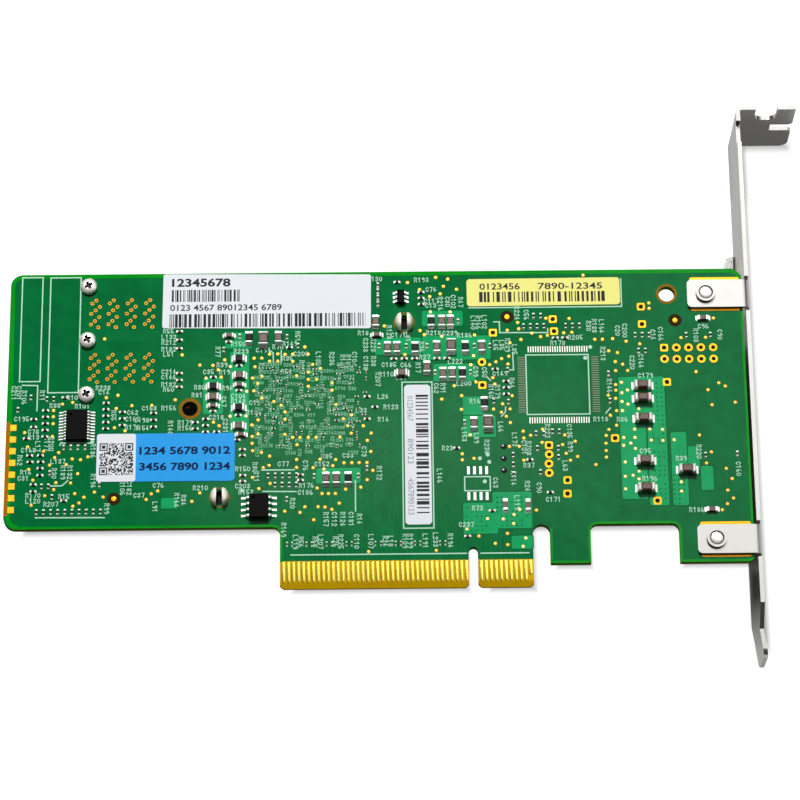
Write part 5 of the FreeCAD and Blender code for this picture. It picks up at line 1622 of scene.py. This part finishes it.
CAMERA_PLACE = (-16.7226, -193.6642, 629.4037)
CAMERA_FORWARD = (0.003284, 0.348416, -0.937334)
CAMERA_RIGHT = (0.999949, -0.010070, -0.000240)
CAMERA_LENS = 146.75
FLOOR_HALF = 3.0
SHADOW_BACK = 3.9
SHADOW_SIDE = 1.7
SHADOW_FADE = (2.4, 2.4)
SKY_LEVEL = 0.07
WHITE = (1.0, 1.0, 1.0, 1.0)


def softbox(name, place, aim, width, height, radiance, sheen=False):
    """A rectangular studio lamp of an even brightness, or one that only shows as a sheen."""
    lamp = bpy.data.lights.new(name, "AREA")
    lamp.shape = "RECTANGLE"
    lamp.size = width
    lamp.size_y = height
    lamp.energy = radiance * math.pi * width * height
    holder = bpy.data.objects.new(name, lamp)
    holder.location = place
    holder.rotation_euler = (Vector(aim) - Vector(place)).to_track_quat("-Z", "Y").to_euler()
    holder.visible_diffuse = not sheen
    bpy.context.scene.collection.objects.link(holder)


def beside(tree, spot, box, fades, least):
    """One outside a rectangle of the floor, falling to the least value over a fade within it."""
    left, bottom, right, top = box
    shares = []
    for axis, near, far, fade in (("X", left, right, fades[0]), ("Y", bottom, top, fades[1])):
        half = (far - near) / 2
        away = reckoned(tree, "SUBTRACT", spot[axis], (near + far) / 2 * MM)
        side = reckoned(tree, "ABSOLUTE", away)
        shares.append(ranged(tree, side, max(half - fade, 0.0) * MM, half * MM, least))
    return reckoned(tree, "MAXIMUM", *shares)


def shadow(left, bottom, right, top):
    """The part of the floor that keeps a board rectangle's shadow, moved back and to the right; where it
    reaches lit floor it paints shadow.
    """
    box = (left + SHADOW_SIDE, bottom + SHADOW_BACK, right + SHADOW_SIDE, top)
    return box, SHADOW_FADE, 0.0


def lay_floor(scene):
    """A white floor that shines for the camera and for mirrors, and keeps the card's shadow; some of its
    boxes paint shadow and dark reflections where none falls.
    """
    level = CARD_BOX[0].z - 0.00005
    corners = [(x, y, level) for x, y in rectangle(-FLOOR_HALF, -FLOOR_HALF, FLOOR_HALF, FLOOR_HALF)]
    mesh = bpy.data.meshes.new("floor")
    mesh.from_pydata(corners, [], [(0, 1, 2, 3)])
    floor = bpy.data.objects.new("floor", mesh)
    scene.collection.objects.link(floor)
    material = bpy.data.materials.new("floor_paper")
    material.use_nodes = True
    tree = material.node_tree
    shader = tree.nodes["Principled BSDF"].inputs
    shader["Base Color"].default_value = scaled(scene.card_colours.floor, 1.0)
    shader["Roughness"].default_value = 0.9
    shader["Specular IOR Level"].default_value = 0.1
    shader["Emission Color"].default_value = WHITE
    path = shader_node(tree, "LightPath", {})
    place = shader_node(tree, "TexCoord", {})["Object"]
    spot = shader_node(tree, "SeparateXYZ", {"Vector": place})
    under_top = SHOULDER + 14.0
    bracket_top = BRACKET_HIGH.y
    # Boxes where the floor's shine is held back. The board's boxes keep its real shadow and paint some more
    # beside it; the last two paint shadow beside the bracket's plate and in front of its flange, in part over
    # a real one.
    shades = (
        shadow(BOARD_LOW.x, SHOULDER, BOARD_HIGH.x, BOARD_HIGH.y - 1.0),
        shadow(TONGUE_LEFT, BOARD_LOW.y, FOOT[1], under_top),
        shadow(FOOT[2], BOARD_LOW.y, TONGUE_RIGHT, under_top),
        shadow(TAB_LEFT, LEG_FOOT, TAB_RIGHT, under_top),
        shadow(LEG_LEFT, LEG_FOOT, BOARD_HIGH.x, under_top),
        ((PLATE_RIGHT - 0.4, LEG_FOOT - 15.0, PLATE_RIGHT + 3.3, bracket_top), (1.8, 5.0), 0.1),
        ((PLATE_LEFT + 2.0, bracket_top - 2.7, BRACKET_HIGH.x + 2.0, bracket_top + 1.0), (2.0, 2.0), 0.5),
    )
    # Boxes where the shine is held back for mirrors only: painted dark reflections in the bracket's plate and
    # flange.
    painted_dark_reflections = (
        ((PLATE_LEFT - 8.0, LEG_FOOT - 14.0, PLATE_LEFT + 4.0, SHOULDER + 6.0), (3.0, 12.0), 0.0),
        ((PLATE_LEFT + 1.0, bracket_top - 14.0, BRACKET_HIGH.x + 4.0, bracket_top + 2.0), (3.0, 3.0), 0.3),
    )
    seen = reckoned(tree, "MAXIMUM", path["Is Camera Ray"], path["Is Transmission Ray"])
    glossy = path["Is Glossy Ray"]
    for box, fades, least in shades:
        clear = beside(tree, spot, box, fades, least)
        seen = reckoned(tree, "MULTIPLY", seen, clear)
        if least == 0.0:
            glossy = reckoned(tree, "MULTIPLY", glossy, clear)
    for box, fades, least in painted_dark_reflections:
        glossy = reckoned(tree, "MULTIPLY", glossy, beside(tree, spot, box, fades, least))
    tree.links.new(reckoned(tree, "MAXIMUM", seen, glossy), shader["Emission Strength"])
    mesh.materials.append(material)


def light_world(scene):
    """A dim white world, bright near the horizon for the rays that see it."""
    world = bpy.data.worlds.new("studio")
    world.use_nodes = True
    tree = world.node_tree
    background = tree.nodes["Background"].inputs
    background["Color"].default_value = WHITE
    path = shader_node(tree, "LightPath", {})
    place = shader_node(tree, "TexCoord", {})["Generated"]
    spot = shader_node(tree, "SeparateXYZ", {"Vector": place})
    horizon = ranged(tree, spot["Z"], 0.08, 0.05)
    rays = path["Is Camera Ray"]
    for kind in ("Is Glossy Ray", "Is Transmission Ray"):
        rays = reckoned(tree, "MAXIMUM", rays, path[kind])
    bright = reckoned(tree, "MULTIPLY", rays, horizon)
    tree.links.new(ranged(tree, bright, 0.0, 1.0, SKY_LEVEL), background["Strength"])
    scene.world = world


class CARD_OT_stage(bpy.types.Operator):
    """Sets the floor, the light and the camera"""

    bl_idname = "card.stage"
    bl_label = "Set stage"

    def execute(self, context):
        scene = context.scene
        scene.view_settings.view_transform = "Standard"
        lay_floor(scene)
        light_world(scene)
        softbox("veil_box", (0.33, 0.265, 0.60), (0.33, 0.265, 0.0), 0.54, 0.31, 2.15, sheen=True)
        softbox("low_box", (0.02, 0.245, 0.60), (0.02, 0.245, 0.0), 0.24, 0.06, 4.5, sheen=True)
        softbox("key_box", (-0.12, 0.95, 1.15), (-0.02, 0.03, 0.0), 0.26, 0.26, 112.0)
        softbox("side_box", (0.75, 0.05, 0.40), (0.06, 0.03, 0.01), 0.40, 0.40, 2.0, sheen=True)
        camera = bpy.data.cameras.new("camera")
        camera.lens = CAMERA_LENS
        camera.sensor_width = 36.0
        camera.clip_start = 0.01
        holder = bpy.data.objects.new("camera", camera)
        right = Vector(CAMERA_RIGHT)
        back = -Vector(CAMERA_FORWARD)
        pose = Matrix((right, back.cross(right), back)).transposed().to_4x4()
        pose.translation = Vector(CAMERA_PLACE) * MM
        holder.matrix_world = pose
        scene.collection.objects.link(holder)
        scene.camera = holder
        return {"FINISHED"}


OPERATORS = (
    CARD_OT_finishes, CARD_OT_nodes, CARD_OT_copper, CARD_OT_lands, CARD_OT_contacts, CARD_OT_small_parts,
    CARD_OT_open_pads, CARD_OT_silk, CARD_OT_chips, CARD_OT_capacitors, CARD_OT_labels, CARD_OT_screws,
    CARD_OT_push_pins, CARD_OT_component_side, CARD_OT_stage,
)


class CARD_PT_panel(bpy.types.Panel):
    """Lists the card's steps, sizes and colours"""

    bl_idname = "CARD_PT_panel"
    bl_label = "Drive adapter card"
    bl_space_type = "VIEW_3D"
    bl_region_type = "UI"
    bl_category = "Card"

    def draw(self, context):
        column = self.layout.column()
        for step in OPERATORS:
            column.operator(step.bl_idname)
        for group in (context.scene.card_sizes, context.scene.card_colours):
            for name in group.__annotations__:
                column.prop(group, name)


CLASSES = (CardColours, CardSizes) + OPERATORS + (CARD_PT_panel,)


def register():
    """Registers the classes and the card's values on the scene."""
    for each in CLASSES:
        bpy.utils.register_class(each)
    bpy.types.Scene.card_colours = bpy.props.PointerProperty(type=CardColours)
    bpy.types.Scene.card_sizes = bpy.props.PointerProperty(type=CardSizes)


def unregister():
    """Takes the classes and values away again."""
    del bpy.types.Scene.card_sizes
    del bpy.types.Scene.card_colours
    for each in reversed(CLASSES):
        bpy.utils.unregister_class(each)


def main():
    """Dresses the card step by step."""
    register()
    for step in OPERATORS:
        family, name = step.bl_idname.split(".")
        getattr(getattr(bpy.ops, family), name)()


if __name__ == "__main__":
    main()
